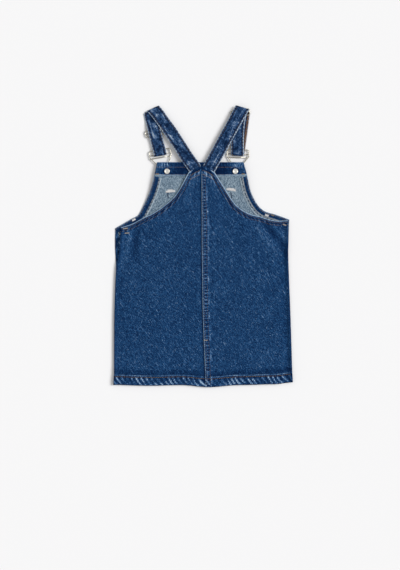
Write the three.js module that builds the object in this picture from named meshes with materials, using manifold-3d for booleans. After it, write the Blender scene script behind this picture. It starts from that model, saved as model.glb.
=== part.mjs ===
// A child's denim pinafore dress, laid flat on its front with its back up.
// Millimetres: +X to the right, +Y from the hem to the shoulders, +Z up from the surface it lies on.
import * as THREE from "three";
import { mergeVertices } from "three/addons/utils/BufferGeometryUtils.js";
import Module from "manifold-3d";

// Driving sizes of the cloth.
const CLOTH = 1.2; // wall of one ply of denim with its nap
const PLY = 1.0; // a turned ply that is sewn down flat
const GAP = 0.3; // clear space between pieces that touch
const STRAP = 1.8; // a strap, two plies sewn together
const HEM_DEPTH = 21; // turned-up hem of the skirt
const HEM_RAISE = 0.8; // what the turned-up plies add to the wall
const ARMHOLE_HEM = 9.5; // turned hem along the back armholes and the back neck
const ARMHOLE_PLY = 16; // turned ply of the front armholes, with its overlocked edge
const FELL_WIDTH = 10.5; // flat-felled seam down the middle of the back
const FELL_RAISE = 1.0;
const BIB_HEM = 27.5; // turned hem along the top of the bib
const PUFF = 1.5; // air between the back and the front in the middle of the skirt
const TURNED_RAISE = 0.5; // what the turned armhole and neck hems add to the wall
const ROUNDING = 0.5; // how far a strap's faces stop short of its round edges

// The hardware.
const WIRE = 1.1; // radius of the buckle's and the slider's wire
const CAP_RADIUS = 8.5;
const CAP_HEIGHT = 3.0;
const SHANK_RADIUS = 2.3;
const TACK_RADIUS = 5.75;
const TACK_HEIGHT = 1.4;
const BUTTON_LEFT = { x: -75.8, y: 156.7 };
const BUTTON_RIGHT = { x: 67.6, y: 156.7 };

// How high the bib lies over its buttons, and where it comes down to the surface.
const BIB_LIFT_AT_BUTTONS = 6.1;
const BIB_LIFT_IN_MIDDLE = 4.8;
const BIB_RISE = { from: 70, to: 146 };

// The patch pocket on the bib, between the bib and the surface.
const POCKET = { left: -80, right: 71, top: 119, bottom: -8, corner: 20, taper: 4, wall: 1.0 };
const POCKET_EASE = { flat: 14, slope: 26 };

// Sections across the front from hem to bib: left end, right end, and grid steps to the next section.
const FRONT_SECTIONS = [
  { lx: -188.6, ly: -291.5, rx: 188.6, ry: -286.0, steps: 2, corner: true },
  { lx: -187.4, ly: -271.0, rx: 187.4, ry: -266.0, steps: 1 },
  { lx: -187.0, ly: -262.0, rx: 187.0, ry: -257.0, steps: 5 },
  { lx: -186.3, ly: -151.6, rx: 183.5, ry: -151.6, steps: 5 },
  { lx: -183.3, ly: -54.4, rx: 179.1, ry: -33.8, steps: 3 },
  { lx: -184.8, ly: 1.5, rx: 179.6, ry: 12.6, steps: 3 },
  { lx: -184.4, ly: 37.2, rx: 180.8, ry: 55.7, steps: 2, corner: true },
  { lx: -151.4, ly: 56.5, rx: 152.0, ry: 66.0, steps: 1 },
  { lx: -136.9, ly: 64.5, rx: 128.9, ry: 73.3, steps: 2 },
  { lx: -126.5, ly: 82.0, rx: 112.8, ry: 88.8, steps: 2 },
  { lx: -111.1, ly: 115.5, rx: 99.5, ry: 115.5, steps: 3 },
  { lx: -102.3, ly: 147.8, rx: 92.2, ry: 147.8, steps: 2 },
  { lx: -96.4, ly: 175.8, rx: 84.8, ry: 175.8, steps: 0, corner: true },
];

// Sections across the left half of the back: side or armhole (l), centre seam (r).
const BACK_LEFT_SECTIONS = [
  { lx: -188.2, ly: -291.5, rx: 5.0, ry: -296.0, steps: 2, corner: true },
  { lx: -187.2, ly: -271.0, rx: 4.6, ry: -273.5, steps: 1 },
  { lx: -186.8, ly: -262.0, rx: 4.4, ry: -264.0, steps: 5 },
  { lx: -186.3, ly: -151.6, rx: -0.1, ry: -152.0, steps: 4 },
  { lx: -183.0, ly: -54.4, rx: -1.8, ry: -54.0, steps: 2 },
  { lx: -177.0, ly: -18.9, rx: -2.2, ry: -16.0, steps: 2 },
  { lx: -173.9, ly: 20.4, rx: -2.5, ry: 22.0, steps: 2 },
  { lx: -173.0, ly: 38.6, rx: -2.6, ry: 44.0, steps: 2, corner: true },
  { lx: -149.7, ly: 46.0, rx: -2.6, ry: 62.0, steps: 2 },
  { lx: -125.6, ly: 58.8, rx: -2.7, ry: 78.0, steps: 2 },
  { lx: -105.2, ly: 68.3, rx: -2.8, ry: 93.0, steps: 2 },
  { lx: -80.0, ly: 85.5, rx: -2.9, ry: 112.0, steps: 2 },
  { lx: -55.2, ly: 109.6, rx: -3.1, ry: 134.0, steps: 3 },
  { lx: -30.2, ly: 153.7, rx: -3.2, ry: 167.4, steps: 0, corner: true, arch: 1.8 },
];

// Sections across the right half: centre seam (l), side or armhole (r).
const BACK_RIGHT_SECTIONS = [
  { lx: 5.3, ly: -296.0, rx: 188.3, ry: -286.0, steps: 2, corner: true },
  { lx: 4.9, ly: -273.5, rx: 187.2, ry: -266.0, steps: 1 },
  { lx: 4.7, ly: -264.0, rx: 186.8, ry: -257.0, steps: 5 },
  { lx: 0.2, ly: -152.0, rx: 183.5, ry: -151.6, steps: 5 },
  { lx: -1.5, ly: -54.0, rx: 179.0, ry: -33.8, steps: 3 },
  { lx: -2.2, ly: 10.0, rx: 178.6, ry: 20.0, steps: 3 },
  { lx: -2.3, ly: 46.0, rx: 177.7, ry: 53.4, steps: 2, corner: true },
  { lx: -2.3, ly: 62.0, rx: 150.0, ry: 53.0, steps: 2 },
  { lx: -2.4, ly: 78.0, rx: 118.0, ry: 61.8, steps: 2 },
  { lx: -2.5, ly: 93.0, rx: 93.7, ry: 68.5, steps: 2 },
  { lx: -2.6, ly: 112.0, rx: 69.0, ry: 85.5, steps: 2 },
  { lx: -2.8, ly: 134.0, rx: 50.5, ry: 111.5, steps: 3 },
  { lx: -2.9, ly: 167.4, rx: 24.4, ry: 153.7, steps: 0, corner: true, arch: 1.8 },
];

// The lower edge, a little wavy: how far the hem reaches at each place across.
const HEM_LINE = [
  { x: -189, y: -291.5 },
  { x: -112, y: -293.2 },
  { x: -45, y: -291.8 },
  { x: 12, y: -296.2 },
  { x: 75, y: -291.8 },
  { x: 150, y: -290.0 },
  { x: 189, y: -286.0 },
];

// The hem's waves die out between these heights.
const HEM_WAVE = { from: -262, to: -170 };

// Largest folds of the back: a line from 1 to 2, its half-width and its height, below 0 for a trough.
const BACK_FOLDS = [
  { x1: 134, y1: 44, x2: 166, y2: 10, width: 8, height: -1.1 },
  { x1: 166, y1: 10, x2: 178, y2: -20, width: 7, height: -0.9 },
  { x1: 150, y1: 40, x2: 176, y2: 12, width: 7, height: 0.9 },
  { x1: 118, y1: 40, x2: 150, y2: -8, width: 9, height: 0.7 },
  { x1: -154, y1: 36, x2: -162, y2: -24, width: 7, height: 0.9 },
  { x1: -140, y1: 36, x2: -146, y2: -30, width: 8, height: -0.8 },
  { x1: -124, y1: 44, x2: -132, y2: -10, width: 9, height: 0.6 },
  { x1: -92, y1: -262, x2: -78, y2: -110, width: 26, height: 0.8 },
  { x1: -140, y1: -230, x2: -128, y2: -60, width: 20, height: -0.6 },
  { x1: 62, y1: -262, x2: 88, y2: -70, width: 28, height: 0.8 },
  { x1: 126, y1: -250, x2: 146, y2: -90, width: 20, height: -0.7 },
  { x1: -40, y1: -40, x2: -30, y2: 90, width: 22, height: 0.5 },
  { x1: 48, y1: -30, x2: 40, y2: 80, width: 22, height: -0.4 },
];

// Sections of the left strap: its edges (a outside, b inside) and its underside's height.
const STRAP_LEFT = {
  back: [
    { ax: -24.0, ay: 149.0, bx: -3.9, by: 162.0, z: 7.65 },
    { ax: -30.5, ay: 157.7, bx: -7.4, by: 173.0, z: 7.7 },
    { ax: -44.9, ay: 178.1, bx: -22.2, by: 193.6, z: 8.35 },
    { ax: -64.5, ay: 209.5, bx: -42.2, by: 224.6, z: 7.9 },
    { ax: -82.3, ay: 235.8, bx: -59.6, by: 251.0, z: 7.4 },
    { ax: -95.5, ay: 254.5, bx: -73.4, by: 269.5, z: 6.2 },
    { ax: -107.0, ay: 270.5, bx: -84.0, by: 285.0, z: 4.2 },
    { ax: -117.5, ay: 282.5, bx: -92.2, by: 294.6, z: 2.6 },
  ],
  front: [
    { ax: -125.0, ay: 277.5, bx: -97.5, by: 289.5, z: 0.3 },
    { ax: -121.7, ay: 262.0, bx: -95.6, by: 269.0, z: 0.6 },
    { ax: -118.9, ay: 251.5, bx: -92.6, by: 257.5, z: 3.4 },
    { ax: -116.4, ay: 242.0, bx: -90.2, by: 248.0, z: 4.9 },
    { ax: -113.4, ay: 230.5, bx: -87.2, by: 236.5, z: 4.9 },
    { ax: -109.6, ay: 215.5, bx: -83.4, by: 221.0, z: 4.0 },
    { ax: -105.2, ay: 199.0, bx: -79.0, by: 204.0, z: 4.9 },
    { ax: -103.0, ay: 190.4, bx: -76.8, by: 195.0, z: 4.9 },
  ],
  under: [
    { ax: -103.0, ay: 190.4, bx: -76.8, by: 195.0, z: 0.2 },
    { ax: -107.0, ay: 207.0, bx: -80.8, by: 212.0, z: 0.2 },
    { ax: -113.0, ay: 229.5, bx: -86.8, by: 235.0, z: 0.2 },
    { ax: -117.6, ay: 246.5, bx: -91.4, by: 252.5, z: 0.2 },
  ],
};

// Sections of the right strap, whose under layer has turned a little to the right.
const STRAP_RIGHT = {
  back: [
    { ax: 19.4, ay: 147.5, bx: -2.1, by: 161.5, z: 7.65 },
    { ax: 25.6, ay: 157.7, bx: 1.3, by: 171.0, z: 7.7 },
    { ax: 38.0, ay: 180.0, bx: 14.0, by: 194.0, z: 8.4 },
    { ax: 56.0, ay: 212.6, bx: 31.8, by: 227.2, z: 8.0 },
    { ax: 76.0, ay: 248.7, bx: 51.5, by: 263.0, z: 7.5 },
    { ax: 88.0, ay: 270.3, bx: 62.6, by: 284.0, z: 7.2 },
    { ax: 96.4, ay: 285.6, bx: 68.9, by: 294.2, z: 7.0 },
  ],
  front: [
    { ax: 94.0, ay: 286.0, bx: 66.4, by: 292.6, z: 4.9 },
    { ax: 90.4, ay: 273.0, bx: 63.4, by: 276.5, z: 4.9 },
    { ax: 87.2, ay: 255.0, bx: 60.4, by: 257.0, z: 3.8 },
    { ax: 85.6, ay: 228.0, bx: 58.8, by: 229.0, z: 3.4 },
    { ax: 85.6, ay: 205.0, bx: 58.8, by: 205.5, z: 4.9 },
    { ax: 85.7, ay: 192.4, bx: 58.8, by: 193.4, z: 4.9 },
  ],
  under: [
    { ax: 86.7, ay: 192.4, bx: 59.8, by: 193.4, z: 0.2 },
    { ax: 90.4, ay: 217.0, bx: 63.6, by: 220.5, z: 0.2 },
    { ax: 95.0, ay: 252.0, bx: 68.2, by: 255.5, z: 0.2 },
    { ax: 98.9, ay: 281.6, bx: 72.1, by: 285.1, z: 0.2 },
  ],
};

// Where each slider and buckle lies: the middle of its bar, its turn in degrees and its height.
const SLIDERS = [
  { name: "slider_left", x: -101.4, y: 238.8, turn: 13, z: 3.4 },
  { name: "slider_right", x: 78.0, y: 279.5, turn: 8, z: 3.4 },
];
const SLIDER_SIZE = { width: 40, height: 13 };
const BUCKLES = [
  { name: "buckle_left", x: -88.8, y: 185.4, turn: 10, button: BUTTON_LEFT },
  { name: "buckle_right", x: 73.2, y: 185.5, turn: -2, button: BUTTON_RIGHT },
];
const BUCKLE_SIZE = { width: 45, height: 17, lowBar: 0.8, turnBar: 7.4, barZ: 3.4, loopZ: 4.5 };

// How the buckle narrows to its loop: distance from the button towards the bar, and out from the middle.
const BUCKLE_NECK = [
  { along: 16, across: 11.5 },
  { along: 10.5, across: 6.2 },
  { along: 6, across: 3.4 },
];

// Edges shorter than this, which joining two wires leaves, are closed up.
const SLIVER = 0.04;

// Colours and finishes.
const DENIM = new THREE.MeshStandardMaterial({ color: 0x1e4476, roughness: 0.9, metalness: 0 });
const DENIM_INSIDE = new THREE.MeshStandardMaterial({ color: 0x869baa, roughness: 0.95, metalness: 0 });
const STEEL = new THREE.MeshStandardMaterial({ color: 0xd4d2cc, roughness: 0.3, metalness: 1 });

const wasm = await Module();
wasm.setup();

// 0 below a, 1 above b, and a smooth rise between them.
function rise(a, b, value) {
  const t = THREE.MathUtils.clamp((value - a) / (b - a), 0, 1);
  return t * t * (3 - 2 * t);
}

function mix(a, b, t) {
  return a + (b - a) * t;
}

// A smooth curve through values p and q at t from 0 to 1, with o before them and r after them.
function through(o, p, q, r, t) {
  const slopeP = (q - o) / 2;
  const slopeQ = (r - p) / 2;
  const t2 = t * t;
  const t3 = t2 * t;
  return (
    (2 * t3 - 3 * t2 + 1) * p + (t3 - 2 * t2 + t) * slopeP + (3 * t2 - 2 * t3) * q + (t3 - t2) * slopeQ
  );
}

// Sections spread out to grid rows; the edges are smooth but for the sections marked as corners.
function gridRows(sections, keys) {
  const rows = [];
  sections.forEach((section, i) => {
    const next = sections[i + 1];
    if (!next) {
      rows.push({ ...section });
      return;
    }
    const before = section.corner || i === 0 ? null : sections[i - 1];
    const after = next.corner || i + 2 >= sections.length ? null : sections[i + 2];
    for (let k = 0; k < section.steps; k++) {
      const t = k / section.steps;
      const row = {};
      for (const key of keys) {
        const p = section[key] ?? 0;
        const q = next[key] ?? 0;
        const o = before ? (before[key] ?? 0) : 2 * p - q;
        const r = after ? (after[key] ?? 0) : 2 * q - p;
        row[key] = through(o, p, q, r, t);
      }
      rows.push(row);
    }
  });
  return rows;
}

// The value of a table's y at x, with straight stretches rounded into each other.
function hemLine(x) {
  const last = HEM_LINE.length - 1;
  const i = THREE.MathUtils.clamp(HEM_LINE.findIndex((row) => row.x > x) - 1, 0, last - 1);
  const p = HEM_LINE[i];
  const q = HEM_LINE[i + 1];
  return mix(p.y, q.y, rise(p.x, q.x, x));
}

// Distance from a point to the line from 1 to 2, and how far along it the nearest point is, from 0 to 1.
function nearLine(x, y, line) {
  const dx = line.x2 - line.x1;
  const dy = line.y2 - line.y1;
  const along = ((x - line.x1) * dx + (y - line.y1) * dy) / (dx * dx + dy * dy);
  const t = THREE.MathUtils.clamp(along, 0, 1);
  return { distance: Math.hypot(x - line.x1 - t * dx, y - line.y1 - t * dy), t };
}

function foldHeight(x, y) {
  let height = 0;
  for (const fold of BACK_FOLDS) {
    const { distance, t } = nearLine(x, y, fold);
    height += fold.height * Math.exp(-((distance / fold.width) ** 2)) * (0.6 + 0.4 * Math.sin(Math.PI * t));
  }
  return height;
}

// Distance from a point to an edge, given as its points in order.
function edgeDistance(x, y, edge) {
  let least = Infinity;
  for (let i = 0; i + 1 < edge.length; i++) {
    const line = { x1: edge[i].x, y1: edge[i].y, x2: edge[i + 1].x, y2: edge[i + 1].y };
    least = Math.min(least, nearLine(x, y, line).distance);
  }
  return least;
}

// The underside of the front: flat on the surface, over the pocket, and up over the buttons.
function frontUnder(x, y) {
  const middle = rise(24, 56, Math.abs(x + 4));
  const bib = rise(BIB_RISE.from, BIB_RISE.to, y);
  const lift = mix(BIB_LIFT_IN_MIDDLE, BIB_LIFT_AT_BUTTONS, middle) * bib;
  const outside = Math.max(POCKET.left - x, x - POCKET.right, y - POCKET.top, POCKET.bottom - y);
  const { flat, slope } = POCKET_EASE;
  const pocket = (POCKET.wall + GAP + 0.1) * (1 - rise(flat, flat + slope, outside));
  return lift + pocket * (1 - bib);
}

function hemRaise(x, y) {
  const up = y - hemLine(x);
  return HEM_RAISE * (1 - rise(HEM_DEPTH - 1, HEM_DEPTH + 3, up));
}

function frontTop(x, y) {
  return frontUnder(x, y) + CLOTH + hemRaise(x, y);
}

// Room that the plies between the back and the front need: hem, armhole plies, strap ends.
function layersBetween(x, y) {
  const hem = HEM_RAISE * (1 - rise(HEM_DEPTH + 6, HEM_DEPTH + 30, y - hemLine(x)));
  const ply = (PLY + GAP) * rise(-22, 8, y);
  const straps = (STRAP + GAP) * rise(108, 140, y);
  return hem + ply + straps;
}

// The underside of the back, with the air under it, given how far the point is from the side edge.
function backUnder(x, y, fromSide) {
  const air = PUFF * rise(0, 42, fromSide) * (1 - rise(40, 110, y));
  const lowest = frontUnder(x, y) + CLOTH + GAP + layersBetween(x, y);
  const edge = rise(4, 26, fromSide);
  return lowest + Math.max(0.05, air + foldHeight(x, y) * edge);
}

// The signed volume of a closed mesh, which is positive when its faces point out.
function volume(position, index) {
  const a = new THREE.Vector3();
  const b = new THREE.Vector3();
  const c = new THREE.Vector3();
  let sum = 0;
  for (let i = 0; i < index.length; i += 3) {
    a.fromArray(position, index[i] * 3);
    b.fromArray(position, index[i + 1] * 3);
    c.fromArray(position, index[i + 2] * 3);
    sum += a.dot(b.cross(c)) / 6;
  }
  return sum;
}

// A geometry from points and triangles, turned so that its faces point out.
function solid(points, triangles) {
  const position = points.flatMap((p) => [p.x, p.y, p.z]);
  const inside = volume(position, triangles) < 0;
  const index = [];
  for (let i = 0; i < triangles.length; i += 3) {
    const [p, q, r] = triangles.slice(i, i + 3);
    index.push(p, ...(inside ? [r, q] : [q, r]));
  }
  const geometry = new THREE.BufferGeometry();
  geometry.setAttribute("position", new THREE.Float32BufferAttribute(position, 3));
  geometry.setIndex(index);
  geometry.computeVertexNormals();
  return geometry;
}

// Quads between rings of points, closed round each ring, with both ends filled or joined to each other.
function ringSolid(rings, looped = false) {
  const count = rings[0].length;
  const points = rings.flat();
  const triangles = [];
  const steps = looped ? rings.length : rings.length - 1;
  for (let i = 0; i < steps; i++) {
    const here = i * count;
    const next = ((i + 1) % rings.length) * count;
    for (let k = 0; k < count; k++) {
      const l = (k + 1) % count;
      triangles.push(here + k, here + l, next + l, here + k, next + l, next + k);
    }
  }
  if (!looped) {
    const end = (rings.length - 1) * count;
    for (let k = 1; k + 1 < count; k++) {
      triangles.push(0, k + 1, k, end, end + k, end + k + 1);
    }
  }
  return solid(points, triangles);
}

// A wall of cloth: a grid of upper points and one of lower points, closed all round.
function wall(upper, lower) {
  const across = upper[0].length;
  const size = upper.length * across;
  const points = [...upper.flat(), ...lower.flat()];
  const triangles = [];
  const quad = (a, b, c, d) => triangles.push(a, b, c, a, c, d);
  for (let j = 0; j + 1 < upper.length; j++) {
    for (let i = 0; i + 1 < across; i++) {
      const a = j * across + i;
      quad(a, a + 1, a + across + 1, a + across);
      quad(size + a, size + a + across, size + a + across + 1, size + a + 1);
    }
  }
  const rim = [];
  for (let i = 0; i + 1 < across; i++) rim.push(i);
  for (let j = 0; j + 1 < upper.length; j++) rim.push(j * across + across - 1);
  for (let i = across - 1; i > 0; i--) rim.push((upper.length - 1) * across + i);
  for (let j = upper.length - 1; j > 0; j--) rim.push(j * across);
  rim.forEach((a, k) => {
    const b = rim[(k + 1) % rim.length];
    quad(a, size + a, size + b, b);
  });
  return solid(points, triangles);
}

// The place across a row, with the lowest rows moved down on to the hem line.
function onRow(row, share, lowest) {
  const x = mix(row.lx, row.rx, share);
  const y = mix(row.ly, row.ry, share);
  const chord = mix(lowest.ly, lowest.ry, share);
  const down = 1 - rise(HEM_WAVE.from, HEM_WAVE.to, y);
  const arch = (row.arch ?? 0) * Math.sin(Math.PI * share);
  return { x, y: y + (hemLine(x) - chord) * down + arch };
}

// Shares from 0 to 1, closer together near the two ends.
function shares(count, ends = 0.35) {
  const list = [];
  for (let i = 0; i <= count; i++) {
    const t = i / count;
    list.push(mix(t, 0.5 - 0.5 * Math.cos(Math.PI * t), ends));
  }
  return list;
}

const EDGES = ["lx", "ly", "rx", "ry", "arch"];
const frontRows = gridRows(FRONT_SECTIONS, EDGES);
const backLeftRows = gridRows(BACK_LEFT_SECTIONS, EDGES);
const backRightRows = gridRows(BACK_RIGHT_SECTIONS, EDGES);

// The edge of a panel from a height up, as points: side l or r.
function edgeFrom(rows, side, corner) {
  const points = rows.map((row) => ({ x: row[side + "x"], y: row[side + "y"] }));
  return points.slice(rows.findIndex((row) => row[side + "x"] === corner[side + "x"]));
}

const UNDERARM = { front: FRONT_SECTIONS[6], left: BACK_LEFT_SECTIONS[7], right: BACK_RIGHT_SECTIONS[6] };
const backArmholeLeft = edgeFrom(backLeftRows, "l", UNDERARM.left);
const backArmholeRight = edgeFrom(backRightRows, "r", UNDERARM.right);
const backNeck = [
  { x: -30.2, y: 153.7 },
  { x: -3, y: 167.4 },
  { x: 24.4, y: 153.7 },
];

function frontPanel() {
  const columns = shares(18);
  const upper = frontRows.map((row) =>
    columns.map((share) => {
      const { x, y } = onRow(row, share, frontRows[0]);
      return new THREE.Vector3(x, y, frontTop(x, y));
    }),
  );
  const lower = upper.map((row) => row.map((p) => new THREE.Vector3(p.x, p.y, frontUnder(p.x, p.y))));
  return wall(upper, lower);
}

// One half of the back. The felled seam is a raised band along the right half's inner edge.
function backHalf(rows, side, armhole, columns) {
  const lower = rows.map((row) => {
    const width = Math.hypot(row.rx - row.lx, row.ry - row.ly);
    return columns(width).map((share) => {
      const { x, y } = onRow(row, share, rows[0]);
      const fromSide = side === "l" ? share * width : (1 - share) * width;
      return new THREE.Vector3(x, y, backUnder(x, y, fromSide));
    });
  });
  const upper = lower.map((points, j) => {
    const row = rows[j];
    const width = Math.hypot(row.rx - row.lx, row.ry - row.ly);
    return points.map((p, i) => {
      const share = columns(width)[i];
      const turned = Math.min(edgeDistance(p.x, p.y, armhole), edgeDistance(p.x, p.y, backNeck));
      const hem = TURNED_RAISE * (1 - rise(ARMHOLE_HEM - 1, ARMHOLE_HEM + 2, turned));
      const felled = side === "r" ? FELL_RAISE * (1 - rise(FELL_WIDTH, FELL_WIDTH + 2, share * width)) : 0;
      const thick = CLOTH + Math.max(hemRaise(p.x, p.y), hem, felled);
      return new THREE.Vector3(p.x, p.y, p.z + thick);
    });
  });
  return wall(upper, lower);
}

function backLeft() {
  const columns = shares(14, 0.3);
  return backHalf(backLeftRows, "l", backArmholeLeft, () => columns);
}

// The right half has two columns on the seam's band, at its own width.
function backRight() {
  const rest = shares(11, 0.3);
  const columns = (width) => {
    const band = [0, FELL_WIDTH / width, (FELL_WIDTH + 2) / width];
    return [...band.slice(0, 2), ...rest.map((t) => mix(band[2], 1, t))];
  };
  return backHalf(backRightRows, "r", backArmholeRight, columns);
}

// A flat ply on the front's upper side, from its outer edge inwards, as two lists of places.
function plyOnFront(outer, inner, across = 3) {
  const place = (j, share) => ({
    x: mix(outer[j].x, inner[j].x, share),
    y: mix(outer[j].y, inner[j].y, share),
  });
  const lower = outer.map((_, j) => {
    const row = [];
    for (let i = 0; i <= across; i++) {
      const { x, y } = place(j, i / across);
      row.push(new THREE.Vector3(x, y, frontTop(x, y) + GAP));
    }
    return row;
  });
  const upper = lower.map((row) => row.map((p) => new THREE.Vector3(p.x, p.y, p.z + PLY)));
  return wall(upper, lower);
}

// The turned hem of the bib: a band under its top edge, from side to side, just inside the edges.
function bibTopHem() {
  const [below, top] = FRONT_SECTIONS.slice(-2);
  const inset = 0.5;
  const at = (share, down) => {
    const t = down / (top.ly - below.ly);
    const x = mix(mix(top.lx, below.lx, t) + inset, mix(top.rx, below.rx, t) - inset, share);
    return { x, y: top.ly - down };
  };
  const columns = shares(14, 0);
  return plyOnFront(
    columns.map((share) => at(share, inset)),
    columns.map((share) => at(share, BIB_HEM)),
  );
}

// The turned ply of a front armhole, from the underarm up to the bib's hem.
function armholePly(side) {
  const inward = side === "l" ? 1 : -1;
  const top = FRONT_SECTIONS[FRONT_SECTIONS.length - 1].ly - BIB_HEM - GAP;
  const full = top - 4; // the last row that is a whole step below the bib's hem
  const edge = edgeFrom(frontRows, side, UNDERARM.front).filter((p) => p.y < full);
  const last = frontRows.find((row) => row[side + "y"] >= full);
  edge.push({ x: last[side + "x"] - inward * 0.6, y: top - 0.5 });
  const inner = edge.map((p, i) => {
    const q = edge[Math.min(i + 1, edge.length - 1)];
    const o = edge[Math.max(i - 1, 0)];
    const length = Math.hypot(q.x - o.x, q.y - o.y);
    const normal = { x: (inward * Math.abs(q.y - o.y)) / length, y: -Math.abs(q.x - o.x) / length };
    return { x: p.x + normal.x * ARMHOLE_PLY, y: Math.min(p.y + normal.y * ARMHOLE_PLY, top) };
  });
  return plyOnFront(edge, inner);
}

function bibPocket() {
  const { left, right, top, bottom, corner, taper, wall: thick } = POCKET;
  const outline = new THREE.Shape();
  outline.moveTo(left, top);
  outline.lineTo(left + taper, bottom + corner);
  outline.lineTo(left + taper + corner, bottom);
  outline.lineTo(right - taper - corner, bottom);
  outline.lineTo(right - taper, bottom + corner);
  outline.lineTo(right, top);
  outline.closePath();
  return new THREE.ExtrudeGeometry(outline, { depth: thick, bevelEnabled: false });
}

// Sections of a strap spread out evenly, as the two edge points of its middle layer.
function strapSections(table, step) {
  const keys = ["ax", "ay", "bx", "by", "z"];
  const withSteps = table.map((section, i) => {
    const next = table[i + 1];
    const length = next ? Math.hypot(next.ax - section.ax, next.ay - section.ay) : 0;
    return { ...section, steps: Math.max(1, Math.round(length / step)) };
  });
  return gridRows(withSteps, keys).map((row) => ({
    a: new THREE.Vector3(row.ax, row.ay, row.z + STRAP / 2),
    b: new THREE.Vector3(row.bx, row.by, row.z + STRAP / 2),
  }));
}

// The turn of a strap from one layer to the next, as sections on a half circle past the two ends.
function strapTurn(from, to, outward, count) {
  const sections = [];
  for (let i = 1; i < count; i++) {
    const angle = (Math.PI * i) / count;
    const section = {};
    for (const edge of ["a", "b"]) {
      const half = Math.abs(from[edge].z - to[edge].z) / 2;
      const point = from[edge].clone().lerp(to[edge], (1 - Math.cos(angle)) / 2);
      section[edge] = point.addScaledVector(outward, half * Math.sin(angle));
    }
    sections.push(section);
  }
  return sections;
}

// A flat band through its sections, with slightly round edges.
function band(sections, thickness) {
  const middles = sections.map(({ a, b }) => a.clone().add(b).multiplyScalar(0.5));
  const rings = sections.map(({ a, b }, i) => {
    const across = b.clone().sub(a).normalize();
    const ahead = middles[Math.min(i + 1, middles.length - 1)].clone();
    ahead.sub(middles[Math.max(i - 1, 0)]).normalize();
    const up = new THREE.Vector3().crossVectors(ahead, across).normalize().multiplyScalar(thickness / 2);
    const inset = across.clone().multiplyScalar(ROUNDING);
    return [
      a.clone(),
      a.clone().add(inset).add(up),
      b.clone().sub(inset).add(up),
      b.clone(),
      b.clone().sub(inset).sub(up),
      a.clone().add(inset).sub(up),
    ];
  });
  return ringSolid(rings);
}

// A strap: back leg, turn at the shoulder, front leg, turn round the buckle's bar, under layer.
function strap(table) {
  const back = strapSections(table.back, 14);
  const front = strapSections(table.front, 9);
  const under = strapSections(table.under, 14);
  const shoulder = new THREE.Vector3(table === STRAP_LEFT ? -0.42 : 0.27, 0.93, 0).normalize();
  const bar = new THREE.Vector3(0, -1, 0);
  const sections = [
    ...back,
    ...strapTurn(back[back.length - 1], front[0], shoulder, 4),
    ...front,
    ...strapTurn(front[front.length - 1], under[0], bar, 6),
    ...under,
  ];
  return band(sections, STRAP);
}

// Round wire through points that lie nearly in one level, open or looped.
function wire(points, radius, looped) {
  const sides = 8;
  const count = points.length;
  const up = new THREE.Vector3(0, 0, 1);
  const rings = points.map((p, i) => {
    const next = looped ? points[(i + 1) % count] : points[Math.min(i + 1, count - 1)];
    const last = looped ? points[(i + count - 1) % count] : points[Math.max(i - 1, 0)];
    const ahead = next.clone().sub(last).normalize();
    const side = new THREE.Vector3().crossVectors(ahead, up).normalize();
    const lift = new THREE.Vector3().crossVectors(side, ahead);
    const ring = [];
    for (let k = 0; k < sides; k++) {
      const angle = (2 * Math.PI * (k + 0.5)) / sides;
      const point = p.clone().addScaledVector(side, radius * Math.cos(angle));
      ring.push(point.addScaledVector(lift, radius * Math.sin(angle)));
    }
    return ring;
  });
  return ringSolid(rings, looped);
}

// Points along a polygon whose corners are rounded off.
function roundedPath(corners, radius, arcSteps = 4) {
  const points = [];
  corners.forEach((corner, i) => {
    const before = corners[(i + corners.length - 1) % corners.length];
    const after = corners[(i + 1) % corners.length];
    const into = before.clone().sub(corner);
    const out = after.clone().sub(corner);
    const cut = Math.min(radius, into.length() * 0.45, out.length() * 0.45);
    const start = corner.clone().addScaledVector(into.normalize(), cut);
    const end = corner.clone().addScaledVector(out.normalize(), cut);
    const curve = new THREE.QuadraticBezierCurve3(start, corner, end);
    points.push(...curve.getPoints(arcSteps));
  });
  return points;
}

function asSolid(geometry) {
  const bare = geometry.clone();
  bare.deleteAttribute("normal");
  bare.deleteAttribute("uv");
  const merged = mergeVertices(bare, 1e-4);
  const mesh = new wasm.Mesh({
    numProp: 3,
    vertProperties: new Float32Array(merged.attributes.position.array),
    triVerts: new Uint32Array(merged.index.array),
  });
  return new wasm.Manifold(mesh);
}

// Several closed geometries joined into one.
function joined(geometries) {
  const whole = geometries.map(asSolid).reduce((sum, piece) => sum.add(piece));
  const mesh = whole.simplify(SLIVER).getMesh();
  const geometry = new THREE.BufferGeometry();
  geometry.setAttribute("position", new THREE.Float32BufferAttribute(mesh.vertProperties, 3));
  geometry.setIndex([...mesh.triVerts]);
  geometry.computeVertexNormals();
  return geometry;
}

// A slider: a rounded wire frame with a bar across its middle.
function slider({ x, y, turn, z }) {
  const half = SLIDER_SIZE.width / 2;
  const end = SLIDER_SIZE.height / 2;
  const place = new THREE.Matrix4()
    .makeRotationZ(THREE.MathUtils.degToRad(turn))
    .setPosition(x, y, z);
  const at = (px, py) => new THREE.Vector3(px, py, 0).applyMatrix4(place);
  const frame = roundedPath([at(-half, -end), at(half, -end), at(half, end), at(-half, end)], 4);
  const bar = [at(-half, 0), at(0, 0), at(half, 0)];
  return joined([wire(frame, WIRE, true), wire(bar, WIRE * 0.9, false)]);
}

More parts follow.
